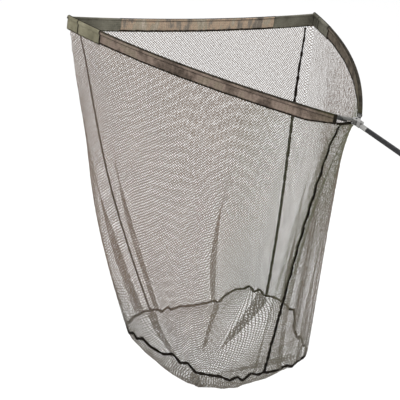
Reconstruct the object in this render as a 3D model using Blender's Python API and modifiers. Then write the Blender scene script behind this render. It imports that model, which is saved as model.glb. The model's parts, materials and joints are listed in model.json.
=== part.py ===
"""A folding landing net for large fish, with its fine-mesh bag, camouflage sleeves and carbon handle.

Frame: metres, +Z up. The origin is on the flat top face of the spreader, just behind the pivot pin.
+Y runs along the handle towards the net's front bar, and +X towards the right arm. Both arms turn on
one vertical pivot pin. Everything but the handle's ends is laid out from that pivot: x and y are
measured from the pin's axis and z from the plane of the arm rods.
"""

import math

import bmesh
import bpy
import numpy as np
from mathutils import Matrix, Vector

# Arms: two bowed rods of 42 inches, held apart by the spreader and together by the front cord.
ARM_LENGTH = 1.070
ARM_START = (0.020, 0.010)
ARM_ROOT_ANGLE = math.radians(38.6)  # from +Y, outwards
BOW_AT_ROOT, BOW_AT_TIP = 0.30, 0.55  # radians of bend per metre of rod
TIP_DROOP = 0.010
ROD_RADIUS_ROOT, ROD_RADIUS_TIP = 0.0045, 0.0035
ROD_FROM = 0.0205

# Spreader.
GAP = 0.0003
ORIGIN_BEHIND_PIVOT = 0.0125
PLATE_THICKNESS = 0.0018
PLATE_TOP = 0.0090
WASHER_THICKNESS = 0.0006
KNUCKLE_LOW, KNUCKLE_HIGH = 0.0006, 0.0060
EYE_RADIUS, PLATE_RADIUS = 0.0090, 0.0120
PIN_RADIUS, PIN_PROUD = 0.0030, 0.0012
BLOCK_BACK, BLOCK_FRONT, BLOCK_WIDTH = -0.0280, -0.0140, 0.0150
PLATE_RIVET_Y, PLATE_RIVET_RADIUS = -0.0230, 0.0014
CHANNEL_FROM, CHANNEL_TO = 0.004, 0.034
CHANNEL_WALL, CHANNEL_DEPTH = 0.0012, 0.0040
ROD_RIVET_AT, ROD_RIVET_RADIUS = 0.0280, 0.0012

# Handle: a slim front section, a butt section that takes it, and what is on them.
HANDLE_DROP = -0.003  # the handle's axis under the plane of the rods
NECK_RADIUS, NECK_FROM, NECK_TO = 0.0076, 0.0283, 0.0580
FRONT_FROM, FRONT_TO = 0.0583, 0.9700
FRONT_RADIUS_HEAD, FRONT_RADIUS_BUTT = 0.0074, 0.0090
BUTT_FROM, BUTT_TO = 0.9100, 1.8000
BUTT_RADIUS_HEAD, BUTT_RADIUS_END = 0.0108, 0.0122
TUBE_WALL = 0.0013
INSERT_LENGTH, STUD_RADIUS, STUD_LENGTH = 0.030, 0.0045, 0.024
GRIP_FROM, GRIP_TO, GRIP_RADIUS = 1.400, 1.770, 0.0155
CAP_LENGTH, CAP_WALL = 0.026, 0.0022

# Sleeves: fabric bands that hang from the rods and from the front cord.
SLEEVE_TOP, FRONT_SLEEVE_TOP = 0.0062, 0.0050
ARM_BAND, FRONT_BAND = 0.0450, 0.0490
SLEEVE_FROM = 0.0403
BINDING_FROM, BINDING_TO = 0.0345, 0.0400
BAND_TAPER, TAPER_LENGTH = 0.0150, 0.090  # the arm bands are this much lower by the spreader
PATCH_FROM, PATCH_TO = 0.914, 1.056
FRONT_PATCH_LENGTH = 0.178
TIP_CAP_FROM, TIP_CAP_TO, CORD_EYE_AT = 1.058, 1.080, 1.0745
CORD_RADIUS, CORD_KNOB_RADIUS = 0.0015, 0.0030
FRONT_SAG_IN, FRONT_SAG_DOWN = 0.018, 0.008

# Bag.
BAG_DEPTH = 1.011  # from the rods to the seam round the base
BASE_SAG = 0.106
BASE_BOTTOM = (-0.12, 0.345)  # where the base hangs lowest
BASE_BULGE, BULGE_AT, BULGE_SPREAD = 0.026, 0.80, 0.07  # it hangs further along its left side
BASE_RINGS = 5
NET_THICKNESS = 0.0020
SEAM_RADIUS, BASE_SEAM_RADIUS, KNOT_RADIUS = 0.0022, 0.0028, 0.0038
EDGE_MARGIN = 0.0050
BASE_STEPS = 42
HEM_GAP = 0.0018
# Under the spreader the mouth's edge comes back towards the pivot and rises.
MOUTH_BACK, MOUTH_RISE = 0.0200, 0.0080
BINDING_LIFT = 0.0028  # the tape's lower edge over the netting's upper edge
HANDLE_SEAM_LEAN = 0.019  # how far left of the middle the handle seam starts, as a share
RIGHT_SEAM_LEAN, LEFT_SEAM_LEAN = -0.0075, 0.0060  # how much nearer the tips the others start
# The base seam seen from above, from the handle seam round by the right.
BASE_OUTLINE = [
    (0.005, 0.180), (0.112, 0.188), (0.225, 0.250), (0.260, 0.378), (0.328, 0.496), (0.294, 0.640),
    (0.208, 0.699), (0.058, 0.636), (-0.104, 0.635), (-0.205, 0.635), (-0.317, 0.592), (-0.333, 0.504),
    (-0.275, 0.382), (-0.216, 0.244), (-0.108, 0.172),
]
# Where each part of the mouth hangs to: share of the mouth's edge and share of the base seam.
MOUTH_TO_BASE = [(0.0, 0.0), (0.05, 0.041), (0.375, 0.33), (0.625, 0.60), (0.95, 0.960), (1.0, 1.0)]
# How the netting falls at a share of the mouth's edge: how upright it starts (1 is a straight line),
# and how far it bellies out.
HANG = [
    (0.00, 0.40, -0.002), (0.05, 0.46, -0.044), (0.15, 1.09, -0.003), (0.25, 0.86, 0.005),
    (0.37, 0.70, 0.037), (0.50, 2.28, 0.019), (0.63, 1.02, 0.035), (0.72, 1.27, 0.078),
    (0.82, 1.14, 0.010), (0.92, 0.88, 0.001), (1.00, 0.40, -0.002),
]
RIGHT_SEAM_AT, LEFT_SEAM_AT = 0.375, 0.625  # shares of the mouth's edge
SPREADER_SHARE, ARM_SHARE, FRONT_SHARE = 0.04, 0.32, 0.28

PARTS = "landing_net"
CUTTERS = "landing_net_cutters"

COLOURS = {
    "carbon": ((0.030, 0.030, 0.033), 0.35, 0.0),
    "foam": ((0.025, 0.025, 0.026), 0.90, 0.0),
    "rubber": ((0.020, 0.020, 0.020), 0.80, 0.0),
    "steel": ((0.560, 0.550, 0.540), 0.32, 1.0),
    "dark_steel": ((0.060, 0.060, 0.060), 0.40, 1.0),
    "nylon": ((0.100, 0.100, 0.100), 0.55, 0.0),
    "glass_fibre": ((0.035, 0.035, 0.033), 0.45, 0.0),
    "camouflage": ((0.200, 0.170, 0.135), 0.90, 0.0),
    "patch_fabric": ((0.240, 0.220, 0.160), 0.90, 0.0),
    "binding": ((0.030, 0.026, 0.022), 0.90, 0.0),
    "netting": ((0.420, 0.390, 0.350), 0.85, 0.0),
    "cord": ((0.050, 0.047, 0.040), 0.80, 0.0),
}


# ---------------------------------------------------------------------------------------------
# Scene helpers
# ---------------------------------------------------------------------------------------------


def clear_scene():
    for obj in list(bpy.data.objects):
        bpy.data.objects.remove(obj, do_unlink=True)


def new_collection(name, hidden=False):
    collection = bpy.data.collections.new(name)
    collection.hide_render = hidden
    bpy.context.scene.collection.children.link(collection)
    return collection


def make_materials():
    for name, (colour, roughness, metallic) in COLOURS.items():
        material = bpy.data.materials.new(name)
        material.use_nodes = True
        shader = material.node_tree.nodes["Principled BSDF"]
        shader.inputs["Base Color"].default_value = (*colour, 1.0)
        shader.inputs["Roughness"].default_value = roughness
        shader.inputs["Metallic"].default_value = metallic


def empty_at(name, location):
    obj = bpy.data.objects.new(name, None)
    obj.empty_display_size = 0.05
    obj.location = location
    bpy.data.collections[PARTS].objects.link(obj)
    return obj


def add_part(obj, material, parent):
    """Puts a finished object among the parts, under its parent empty, with one material."""
    for collection in list(obj.users_collection):
        collection.objects.unlink(obj)
    bpy.data.collections[PARTS].objects.link(obj)
    obj.data.materials.clear()
    obj.data.materials.append(bpy.data.materials[material])
    obj.parent = parent
    for modifier in obj.modifiers:
        if modifier.type == "BOOLEAN":
            modifier.object.parent = parent
    if obj.type == "MESH":
        obj.data.shade_smooth()
        obj.data.set_sharp_from_angle(angle=math.radians(35))
    return obj


def mesh_object(name, mesh):
    obj = bpy.data.objects.new(name, mesh)
    bpy.context.scene.collection.objects.link(obj)
    return obj


def as_mesh(obj):
    """Turns a curve or an object with modifiers into a plain welded mesh of the same name."""
    bpy.context.view_layer.update()
    evaluated = obj.evaluated_get(bpy.context.evaluated_depsgraph_get())
    mesh = bpy.data.meshes.new_from_object(evaluated)
    welded = bmesh.new()
    welded.from_mesh(mesh)
    bmesh.ops.remove_doubles(welded, verts=welded.verts, dist=0.00001)
    bmesh.ops.recalc_face_normals(welded, faces=welded.faces)
    welded.to_mesh(mesh)
    welded.free()
    name, placed = obj.name, obj.matrix_world.copy()
    bpy.data.objects.remove(obj, do_unlink=True)
    made = mesh_object(name, mesh)
    made.matrix_world = placed
    return made


def make_cutter(obj):
    """A cutter stays in its own collection, out of the render."""
    for collection in list(obj.users_collection):
        collection.objects.unlink(obj)
    bpy.data.collections[CUTTERS].objects.link(obj)
    obj.hide_render = True
    obj.display_type = "WIRE"
    return obj


def boolean(obj, other, operation):
    modifier = obj.modifiers.new(operation.lower(), "BOOLEAN")
    modifier.operation = operation
    modifier.solver = "EXACT"
    modifier.object = make_cutter(other)
    return obj


# ---------------------------------------------------------------------------------------------
# Shape helpers
# ---------------------------------------------------------------------------------------------


def turned(name, profile, axis_point, direction, steps=24):
    """A turned piece. The profile is (radius, distance along the axis) and goes round its wall
    so that its outer side runs from far to near."""
    mesh = bpy.data.meshes.new(name)
    points = [(radius, 0.0, along) for radius, along in profile]
    edges = [(i, (i + 1) % len(points)) for i in range(len(points))]
    if profile[0][0] == 0.0 and profile[-1][0] == 0.0:
        edges.pop()
    mesh.from_pydata(points, edges, [])
    obj = mesh_object(name, mesh)
    screw = obj.modifiers.new("turn", "SCREW")
    screw.steps = steps
    screw.render_steps = steps
    screw.use_merge_vertices = True
    screw.merge_threshold = 0.00001
    obj.rotation_mode = "QUATERNION"
    obj.rotation_quaternion = Vector((0, 0, 1)).rotation_difference(Vector(direction))
    obj.location = axis_point
    return obj


def ring_profile(inner, outer, near, far):
    """The four corners of a plain ring or tube."""
    return [(outer, far), (outer, near), (inner, near), (inner, far)]


def cylinder(name, radius, low, high, x=0.0, y=0.0, sides=24):
    mesh = bpy.data.meshes.new(name)
    shape = bmesh.new()
    bmesh.ops.create_cone(
        shape, cap_ends=True, segments=sides, radius1=radius, radius2=radius, depth=high - low
    )
    bmesh.ops.translate(shape, verts=shape.verts, vec=(x, y, (low + high) / 2))
    shape.to_mesh(mesh)
    shape.free()
    return mesh_object(name, mesh)


def hull(name, points):
    mesh = bpy.data.meshes.new(name)
    shape = bmesh.new()
    for point in points:
        shape.verts.new(point)
    found = bmesh.ops.convex_hull(shape, input=shape.verts)
    bmesh.ops.delete(shape, geom=found["geom_interior"], context="VERTS")
    bmesh.ops.recalc_face_normals(shape, faces=shape.faces)
    shape.to_mesh(mesh)
    shape.free()
    return mesh_object(name, mesh)


def circle_points(radius, x, y, z, sides=28):
    turns = [2 * math.pi * i / sides for i in range(sides)]
    return [(x + radius * math.cos(t), y + radius * math.sin(t), z) for t in turns]


def flat_plate(name, outline, low, high):
    """An outline in the XY plane, as thick as from low to high."""
    curve = bpy.data.curves.new(name, "CURVE")
    curve.dimensions = "2D"
    curve.fill_mode = "BOTH"
    curve.extrude = (high - low) / 2
    spline = curve.splines.new("POLY")
    spline.points.add(len(outline) - 1)
    for point, (x, y) in zip(spline.points, outline):
        point.co = (x, y, 0.0, 1.0)
    spline.use_cyclic_u = True
    obj = bpy.data.objects.new(name, curve)
    bpy.context.scene.collection.objects.link(obj)
    obj.location.z = (low + high) / 2
    return as_mesh(obj)


def tube(name, points, radii, resolution=2, closed=False):
    """A round tube through points, with a radius at each."""
    curve = bpy.data.curves.new(name, "CURVE")
    curve.dimensions = "3D"
    curve.bevel_depth = 1.0
    curve.bevel_resolution = resolution
    curve.use_fill_caps = not closed
    spline = curve.splines.new("POLY")
    spline.points.add(len(points) - 1)
    for target, point, radius in zip(spline.points, points, radii):
        target.co = (*point, 1.0)
        target.radius = radius
    spline.use_cyclic_u = closed
    obj = bpy.data.objects.new(name, curve)
    bpy.context.scene.collection.objects.link(obj)
    return obj


def skin(shape, rows, closed):
    """Quads between rows of vertices that all have the same count."""
    for row, following in zip(rows, rows[1:]):
        count = len(row)
        for i in range(count if closed else count - 1):
            j = (i + 1) % count
            shape.faces.new((row[i], row[j], following[j], following[i]))


def hollow_loft(name, outers, inners):
    """A tube with its own outer and inner outline at each station, closed by a ring at each end."""
    mesh = bpy.data.meshes.new(name)
    shape = bmesh.new()
    outer = [[shape.verts.new(p) for p in ring] for ring in outers]
    inner = [[shape.verts.new(p) for p in ring] for ring in inners]
    skin(shape, outer, True)
    skin(shape, inner, True)
    skin(shape, [outer[0], inner[0]], True)
    skin(shape, [outer[-1], inner[-1]], True)
    bmesh.ops.recalc_face_normals(shape, faces=shape.faces)
    shape.to_mesh(mesh)
    shape.free()
    return mesh_object(name, mesh)


def loft(name, rings):
    mesh = bpy.data.meshes.new(name)
    shape = bmesh.new()
    rows = [[shape.verts.new(p) for p in ring] for ring in rings]
    skin(shape, rows, True)
    shape.faces.new(rows[0])
    shape.faces.new(rows[-1])
    bmesh.ops.recalc_face_normals(shape, faces=shape.faces)
    shape.to_mesh(mesh)
    shape.free()
    return mesh_object(name, mesh)


def net_sheet(name, grid, wraps=False):
    """A thin solid sheet through a grid of points, rows by columns."""
    mesh = bpy.data.meshes.new(name)
    shape = bmesh.new()
    rows = [[shape.verts.new(p) for p in row] for row in grid]
    skin(shape, rows, wraps)
    if wraps:
        shape.faces.new(rows[-1])
    bmesh.ops.recalc_face_normals(shape, faces=shape.faces)
    shape.to_mesh(mesh)
    shape.free()
    obj = mesh_object(name, mesh)
    solidify = obj.modifiers.new("thickness", "SOLIDIFY")
    solidify.thickness = NET_THICKNESS
    solidify.offset = 0.0
    return obj


# ---------------------------------------------------------------------------------------------
# The arms' bowed line
# ---------------------------------------------------------------------------------------------


def arm_angle(s):
    """The rod's direction at s metres along it, from +Y towards +X."""
    bend = BOW_AT_ROOT * s + (BOW_AT_TIP - BOW_AT_ROOT) * s * s / (2 * ARM_LENGTH)
    return ARM_ROOT_ANGLE - bend


def arm_point(s):
    """The right rod's axis at s metres along it."""
    steps = 40
    x, y = ARM_START
    for i in range(steps):
        angle = arm_angle((i + 0.5) * s / steps)
        x += math.sin(angle) * s / steps
        y += math.cos(angle) * s / steps
    return Vector((x, y, -TIP_DROOP * (s / ARM_LENGTH) ** 2))


def arm_frame(s):
    """The point on the right rod, its outward direction and its direction along the rod."""
    angle = arm_angle(s)
    outward = Vector((math.cos(angle), -math.sin(angle), 0.0))
    along = Vector((math.sin(angle), math.cos(angle), 0.0))
    return arm_point(s), outward, along


def rod_radius(s):
    return ROD_RADIUS_ROOT + (ROD_RADIUS_TIP - ROD_RADIUS_ROOT) * s / ARM_LENGTH


def mirrored(points, side):
    """Points for the right arm (side 1) or their mirror image for the left arm (side -1)."""
    return [Vector((side * p[0], p[1], p[2])) for p in points]


def band_section(bore, wall, top, height):
    """A fabric band's outline and its bore, as (across, up) from the rod's axis: round over the rod,
    then two layers that hang together down to the hem."""
    turns = [math.radians(a) for a in (-40, -5, 35, 65, 90, 115, 145, 185, 220, 255, 285)]
    inner = [(bore * math.cos(t), bore * math.sin(t)) for t in turns]
    outer = [((bore + wall) * math.cos(t), (bore + wall) * math.sin(t)) for t in turns[:-2]]
    outer = [(x, min(z, top)) for x, z in outer]
    hem = top - height
    half = 0.0016
    outer += [(-half, hem), (half, hem)]
    return outer, inner


def band_height(s):
    """How tall the band on an arm is, s metres along it."""
    t = min(max((s - BINDING_FROM) / TAPER_LENGTH, 0.0), 1.0)
    return ARM_BAND - BAND_TAPER * (1 - t)


def arm_band(name, side, start, end, bore_extra, wall, stations):
    """A band of fabric round one arm's rod from start to end."""
    outers, inners = [], []
    for i in range(stations + 1):
        s = start + (end - start) * i / stations
        centre, outward, _ = arm_frame(s)
        bore = rod_radius(s) + bore_extra
        outer, inner = band_section(bore, wall, SLEEVE_TOP, band_height(s))
        for section, rings in ((outer, outers), (inner, inners)):
            ring = [centre + outward * x + Vector((0, 0, z)) for x, z in section]
            rings.append(mirrored(ring, side))
    return hollow_loft(name, outers, inners)


# ---------------------------------------------------------------------------------------------
# The front bar
# ---------------------------------------------------------------------------------------------


def front_point(share):
    """The front cord's axis, from the right tip (share 1) to the left tip (share -1)."""
    tip = arm_point(CORD_EYE_AT)
    slack = 1 - share * share
    return Vector((share * tip.x, tip.y - FRONT_SAG_IN * slack, tip.z - FRONT_SAG_DOWN * slack))


def front_band(name, start, end, stations, bore, wall):
    """A band of fabric round the front cord, between two distances from its middle."""
    reach = front_point(1.0).x
    outers, inners = [], []
    for i in range(stations + 1):
        x = start + (end - start) * i / stations
        centre = front_point(x / reach)
        outer, inner = band_section(bore, wall, FRONT_SLEEVE_TOP, FRONT_BAND)
        for section, rings in ((outer, outers), (inner, inners)):
            rings.append([centre + Vector((0.0, across, up)) for across, up in section])
    return hollow_loft(name, outers, inners)


# ---------------------------------------------------------------------------------------------
# The bag's shape
# ---------------------------------------------------------------------------------------------


def mouth_point(share):
    """The bag's upper edge under the sleeves, from the middle of the spreader round by the right."""
    front_low = FRONT_SLEEVE_TOP - FRONT_BAND - HEM_GAP
    share = share % 1.0
    side = 1 if share <= 0.5 else -1
    mirrored_share = share if share <= 0.5 else 1 - share
    arm_from, arm_to = BINDING_FROM - 0.001, ARM_LENGTH - 0.004
    if mirrored_share < SPREADER_SHARE:
        corner = arm_point(arm_from)
        t = mirrored_share / SPREADER_SHARE
        inwards = math.cos(t * math.pi / 2)
        y = corner.y - MOUTH_BACK * inwards
        x = side * corner.x * math.sin(t * math.pi / 2)
        arm_low = SLEEVE_TOP - band_height(arm_from) - HEM_GAP
        return Vector((x, y, arm_low + MOUTH_RISE * inwards * inwards))
    if mirrored_share < SPREADER_SHARE + ARM_SHARE:
        t = (mirrored_share - SPREADER_SHARE) / ARM_SHARE
        s = arm_from + (arm_to - arm_from) * t
        point = arm_point(s)
        arm_low = SLEEVE_TOP - band_height(s) - HEM_GAP
        hem = arm_low + (front_low - arm_low) * max(0.0, t * 10 - 9)
        return Vector((side * point.x, point.y, point.z + hem))
    t = (mirrored_share - SPREADER_SHARE - ARM_SHARE) / (FRONT_SHARE / 2)
    point = front_point(side * 0.985 * (1 - t))
    return point + Vector((0, 0, front_low))


def closed_curve(points, share):
    """A smooth closed curve through points, at a share of its way round."""
    count = len(points)
    at = (share % 1.0) * count
    k = int(at) % count
    t = at - int(at)
    p0, p1, p2, p3 = (Vector(points[(k + i) % count]) for i in (-1, 0, 1, 2))
    return 0.5 * (
        2 * p1 + (p2 - p0) * t + (2 * p0 - 5 * p1 + 4 * p2 - p3) * t**2 + (3 * p1 - p0 - 3 * p2 + p3) * t**3
    )


def from_table(table, share):
    """The table's further columns at a share, on straight lines between its rows."""
    columns = list(zip(*table))
    return [float(np.interp(share % 1.0, columns[0], column)) for column in columns[1:]]


def base_seam_point(base_share):
    flat = closed_curve(BASE_OUTLINE, base_share)
    return Vector((flat.x, flat.y, -BAG_DEPTH))


def bag_point(share, depth):
    """A point on the bag's wall: share runs round the mouth, and depth from 0 at the mouth to 1 at
    the base seam."""
    straightness, belly = from_table(HANG, share)
    top, low = mouth_point(share), base_seam_point(from_table(MOUTH_TO_BASE, share)[0])
    reach = depth**straightness
    point = Vector((*(top.xy.lerp(low.xy, reach)), top.z + (low.z - top.z) * depth))
    centre = Vector((0.0, 0.45))
    outward = (point.xy - centre).normalized()
    swell = belly * math.sin(math.pi * depth)
    return point + Vector((*(outward * swell), 0.0))


def handle_seam_share(depth):
    """The handle seam leans to the left at its top."""
    return -HANDLE_SEAM_LEAN * (1 - depth) ** 3


def right_seam_share(depth):
    return RIGHT_SEAM_AT + RIGHT_SEAM_LEAN * (1 - depth) ** 6


def left_seam_share(depth):
    return LEFT_SEAM_AT + LEFT_SEAM_LEAN * (1 - depth) ** 6


def wall_grid(first_seam, last_seam, columns, rows, corners=()):
    """Rows of points on the bag's wall between two seams, clear of the seams and of the hems. Each
    seam is its share of the mouth's edge as a function of depth. A column of its own stands at
    each corner of the mouth's edge."""
    shares = [i / columns for i in range(columns + 1)]
    first, last = first_seam(0.0), last_seam(0.0)
    shares = sorted(shares + [(corner - first) / (last - first) for corner in corners])
    samples = np.linspace(0.0, 1.0, 91)
    lowest = 1 - EDGE_MARGIN / BAG_DEPTH
    grid = []
    for j in range(rows + 1):
        depth = lowest * j / rows
        first, last = first_seam(depth), last_seam(depth)
        line = np.array([bag_point(first + (last - first) * u, depth) for u in samples])
        along = np.concatenate([[0.0], np.cumsum(np.linalg.norm(np.diff(line, axis=0), axis=1))])
        stops = np.interp(shares, samples, along)
        stops = np.clip(stops, EDGE_MARGIN, along[-1] - EDGE_MARGIN)
        grid.append([Vector([float(np.interp(a, along, line[:, k])) for k in range(3)]) for a in stops])
    return grid


# ---------------------------------------------------------------------------------------------
# Handle
# ---------------------------------------------------------------------------------------------


def build_handle(root):
    """Distances along the handle are measured back from the pivot, towards the hand."""
    axis = (0.0, 0.0, HANDLE_DROP)
    back = (0.0, -1.0, 0.0)

    def on_handle(name, profile, material, steps=24):
        return add_part(turned(name, profile, axis, back, steps), material, root)

    front_bore = FRONT_RADIUS_HEAD - TUBE_WALL
    on_handle(
        "handle_front_section",
        [
            (FRONT_RADIUS_BUTT, FRONT_TO),
            (FRONT_RADIUS_HEAD, FRONT_FROM),
            (front_bore, FRONT_FROM),
            (FRONT_RADIUS_BUTT - TUBE_WALL, FRONT_TO),
        ],
        "carbon",
    )
    on_handle(
        "handle_insert",
        ring_profile(STUD_RADIUS + GAP, front_bore - GAP, FRONT_FROM, FRONT_FROM + INSERT_LENGTH),
        "dark_steel",
    )
    butt_bore = FRONT_RADIUS_BUTT + GAP
    on_handle(
        "handle_butt_section",
        [
            (BUTT_RADIUS_END, BUTT_TO),
            (BUTT_RADIUS_HEAD, BUTT_FROM),
            (butt_bore, BUTT_FROM),
            (butt_bore, FRONT_TO + 0.004),
            (BUTT_RADIUS_END - TUBE_WALL, BUTT_TO),
        ],
        "carbon",
    )
    ferrule_length = 0.028
    on_handle(
        "handle_ferrule",
        [
            (BUTT_RADIUS_HEAD + 0.0016, BUTT_FROM + ferrule_length),
            (BUTT_RADIUS_HEAD + 0.0016, BUTT_FROM + 0.002),
            (BUTT_RADIUS_HEAD + 0.0008, BUTT_FROM),
            (BUTT_RADIUS_HEAD + 0.0004, BUTT_FROM),
            (BUTT_RADIUS_HEAD + 0.0004, BUTT_FROM + ferrule_length),
        ],
        "dark_steel",
    )
    grip_bore = BUTT_RADIUS_END + GAP
    on_handle(
        "handle_grip",
        [
            (GRIP_RADIUS - 0.002, GRIP_TO),
            (GRIP_RADIUS, GRIP_TO - 0.004),
            (GRIP_RADIUS, GRIP_FROM + 0.012),
            (grip_bore + 0.0006, GRIP_FROM),
            (grip_bore, GRIP_FROM),
            (grip_bore, GRIP_TO),
        ],
        "foam",
    )
    cap_end = BUTT_TO + GAP + 0.006
    cap_radius = BUTT_RADIUS_END + GAP + CAP_WALL
    on_handle(
        "butt_cap",
        [
            (0.0, cap_end),
            (cap_radius - 0.002, cap_end),
            (cap_radius, cap_end - 0.002),
            (cap_radius, BUTT_TO - CAP_LENGTH),
            (BUTT_RADIUS_END + GAP, BUTT_TO - CAP_LENGTH),
            (BUTT_RADIUS_END + GAP, BUTT_TO + GAP),
            (0.0, BUTT_TO + GAP),
        ],
        "rubber",
    )


# ---------------------------------------------------------------------------------------------
# Spreader
# ---------------------------------------------------------------------------------------------


def fork_outline():
    """A round end about the pivot, with a straight tail back to the neck."""
    half = BLOCK_WIDTH / 2
    leaves = math.asin(half / PLATE_RADIUS)
    start, end = -math.pi / 2 + leaves, 1.5 * math.pi - leaves
    steps = 28
    turns = [start + (end - start) * i / steps for i in range(steps + 1)]
    arc = [(PLATE_RADIUS * math.cos(t), PLATE_RADIUS * math.sin(t)) for t in turns]
    return arc + [(-half, BLOCK_BACK), (half, BLOCK_BACK)]


def rivet(name, radius, head_radius, head, low, high, sides=16):
    """A pin with a head beyond low and another beyond high."""
    profile = [
        (0.0, low - head),
        (head_radius * 0.85, low - head),
        (head_radius, low - head * 0.7),
        (head_radius, low),
        (radius, low),
        (radius, high),
        (head_radius, high),
        (head_radius, high + head * 0.7),
        (head_radius * 0.85, high + head),
        (0.0, high + head),
    ]
    return turned(name, profile[::-1], (0.0, 0.0, 0.0), (0, 0, 1), sides)


def build_spreader(root):
    hole = PIN_RADIUS + GAP
    rivet_hole = PLATE_RIVET_RADIUS + GAP
    plate_low = PLATE_TOP - PLATE_THICKNESS
    for name, low, high in (
        ("spreader_top_plate", plate_low, PLATE_TOP),
        ("spreader_bottom_plate", -PLATE_TOP, -plate_low),
    ):
        plate = flat_plate(name, fork_outline(), low, high)
        boolean(plate, cylinder(name + "_pin_hole", hole, -0.02, 0.02), "DIFFERENCE")
        cut = cylinder(name + "_rivet_hole", rivet_hole, -0.02, 0.02, y=PLATE_RIVET_Y, sides=20)
        boolean(plate, cut, "DIFFERENCE")
        add_part(plate, "steel", root)

    washer_levels = {
        "washer_upper": KNUCKLE_HIGH + GAP,
        "washer_middle": -WASHER_THICKNESS / 2,
        "washer_lower": -KNUCKLE_HIGH - GAP - WASHER_THICKNESS,
    }
    for name, low in washer_levels.items():
        profile = ring_profile(hole, EYE_RADIUS - 0.001, low, low + WASHER_THICKNESS)
        washer = turned(name, profile, (0, 0, 0), (0, 0, 1))
        add_part(washer, "nylon", root)

    # The pivot pin and the rivet behind it stand a little proud of both plates, with no heads.
    for name, radius, y in (
        ("pivot_pin", PIN_RADIUS, 0.0),
        ("plate_rivet", PLATE_RIVET_RADIUS, PLATE_RIVET_Y),
    ):
        end, edge = PLATE_TOP + PIN_PROUD, radius * 0.25
        profile = [
            (0.0, end), (radius - edge, end), (radius, end - edge),
            (radius, edge - end), (radius - edge, -end), (0.0, -end),
        ]
        add_part(turned(name, profile, (0.0, y, 0.0), (0, 0, 1)), "dark_steel", root)

    block_half = plate_low - GAP
    corners = [
        (x, y, z)
        for x in (-BLOCK_WIDTH / 2, BLOCK_WIDTH / 2)
        for y in (BLOCK_BACK, BLOCK_FRONT)
        for z in (-block_half, block_half)
    ]
    block = hull("spreader_block", corners)
    cut = cylinder("spreader_block_rivet_hole", rivet_hole, -0.02, 0.02, y=PLATE_RIVET_Y, sides=20)
    boolean(block, cut, "DIFFERENCE")
    add_part(block, "steel", root)
    # The neck and, in one piece with it, the stud that screws into the handle.
    neck = turned(
        "spreader_neck",
        [
            (0.0, NECK_TO + STUD_LENGTH),
            (STUD_RADIUS - 0.0008, NECK_TO + STUD_LENGTH),
            (STUD_RADIUS, NECK_TO + STUD_LENGTH - 0.001),
            (STUD_RADIUS, NECK_TO),
            (NECK_RADIUS - 0.0006, NECK_TO),
            (NECK_RADIUS, NECK_TO - 0.0008),
            (NECK_RADIUS, NECK_FROM + 0.002),
            (NECK_RADIUS - 0.0012, NECK_FROM),
            (0.0, NECK_FROM),
        ],
        (0.0, 0.0, HANDLE_DROP),
        (0.0, -1.0, 0.0),
    )
    add_part(neck, "steel", root)


# ---------------------------------------------------------------------------------------------
# Arms
# ---------------------------------------------------------------------------------------------


def channel_section():
    """The bracket's C section as (outward, up) from the rod's axis, open on its outer side."""
    inside = ROD_RADIUS_ROOT + GAP
    outside = KNUCKLE_HIGH
    web = -inside - CHANNEL_WALL
    return [
        (web, -outside), (CHANNEL_DEPTH, -outside), (CHANNEL_DEPTH, -inside), (-inside, -inside),
        (-inside, inside), (CHANNEL_DEPTH, inside), (CHANNEL_DEPTH, outside), (web, outside),
    ]


def build_bracket(side, label, parent):
    stations = 6
    rings = []
    for i in range(stations + 1):
        s = CHANNEL_FROM + (CHANNEL_TO - CHANNEL_FROM) * i / stations
        centre, outward, _ = arm_frame(s)
        level = Vector((centre.x, centre.y, 0.0))
        ring = [level + outward * x + Vector((0, 0, z)) for x, z in channel_section()]
        rings.append(mirrored(ring, side))
    bracket = loft(f"arm_bracket_{label}", rings)

    # The left knuckle lies over the right one.
    low, high = (KNUCKLE_LOW, KNUCKLE_HIGH) if side < 0 else (-KNUCKLE_HIGH, -KNUCKLE_LOW)
    points = circle_points(EYE_RADIUS, 0, 0, low) + circle_points(EYE_RADIUS, 0, 0, high)
    for s in (CHANNEL_FROM, ROD_FROM - 0.004):
        centre, outward, _ = arm_frame(s)
        for x in (-ROD_RADIUS_ROOT - GAP - CHANNEL_WALL * 0.5, CHANNEL_DEPTH - 0.0006):
            for z in (low, high):
                points.append(mirrored([centre.xy.to_3d() + outward * x + Vector((0, 0, z))], side)[0])
    boolean(bracket, hull(f"knuckle_{label}", points), "UNION")
    boolean(bracket, cylinder(f"knuckle_hole_{label}", PIN_RADIUS + GAP, -0.02, 0.02), "DIFFERENCE")
    place = mirrored([arm_point(ROD_RIVET_AT)], side)[0]
    cut = cylinder(
        f"bracket_rivet_hole_{label}", ROD_RIVET_RADIUS + GAP, -0.02, 0.02, place.x, place.y, 16
    )
    boolean(bracket, cut, "DIFFERENCE")
    add_part(bracket, "steel", parent)

    level = KNUCKLE_HIGH + GAP
    fastener = rivet(f"rod_rivet_{label}", ROD_RIVET_RADIUS, 0.0024, 0.0009, -level, level)
    fastener.location = (place.x, place.y, 0.0)
    add_part(fastener, "dark_steel", parent)


def build_rod(side, label, parent):
    stations = 18
    stops = [ROD_FROM + (ARM_LENGTH - 0.002 - ROD_FROM) * i / stations for i in range(stations + 1)]
    points = mirrored([arm_point(s) for s in stops], side)
    rod = as_mesh(tube(f"arm_rod_{label}", points, [rod_radius(s) for s in stops]))
    place = mirrored([arm_point(ROD_RIVET_AT)], side)[0]
    cut = cylinder(f"rod_rivet_hole_{label}", ROD_RIVET_RADIUS + GAP, -0.02, 0.02, place.x, place.y, 16)
    boolean(rod, cut, "DIFFERENCE")
    add_part(rod, "glass_fibre", parent)


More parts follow.
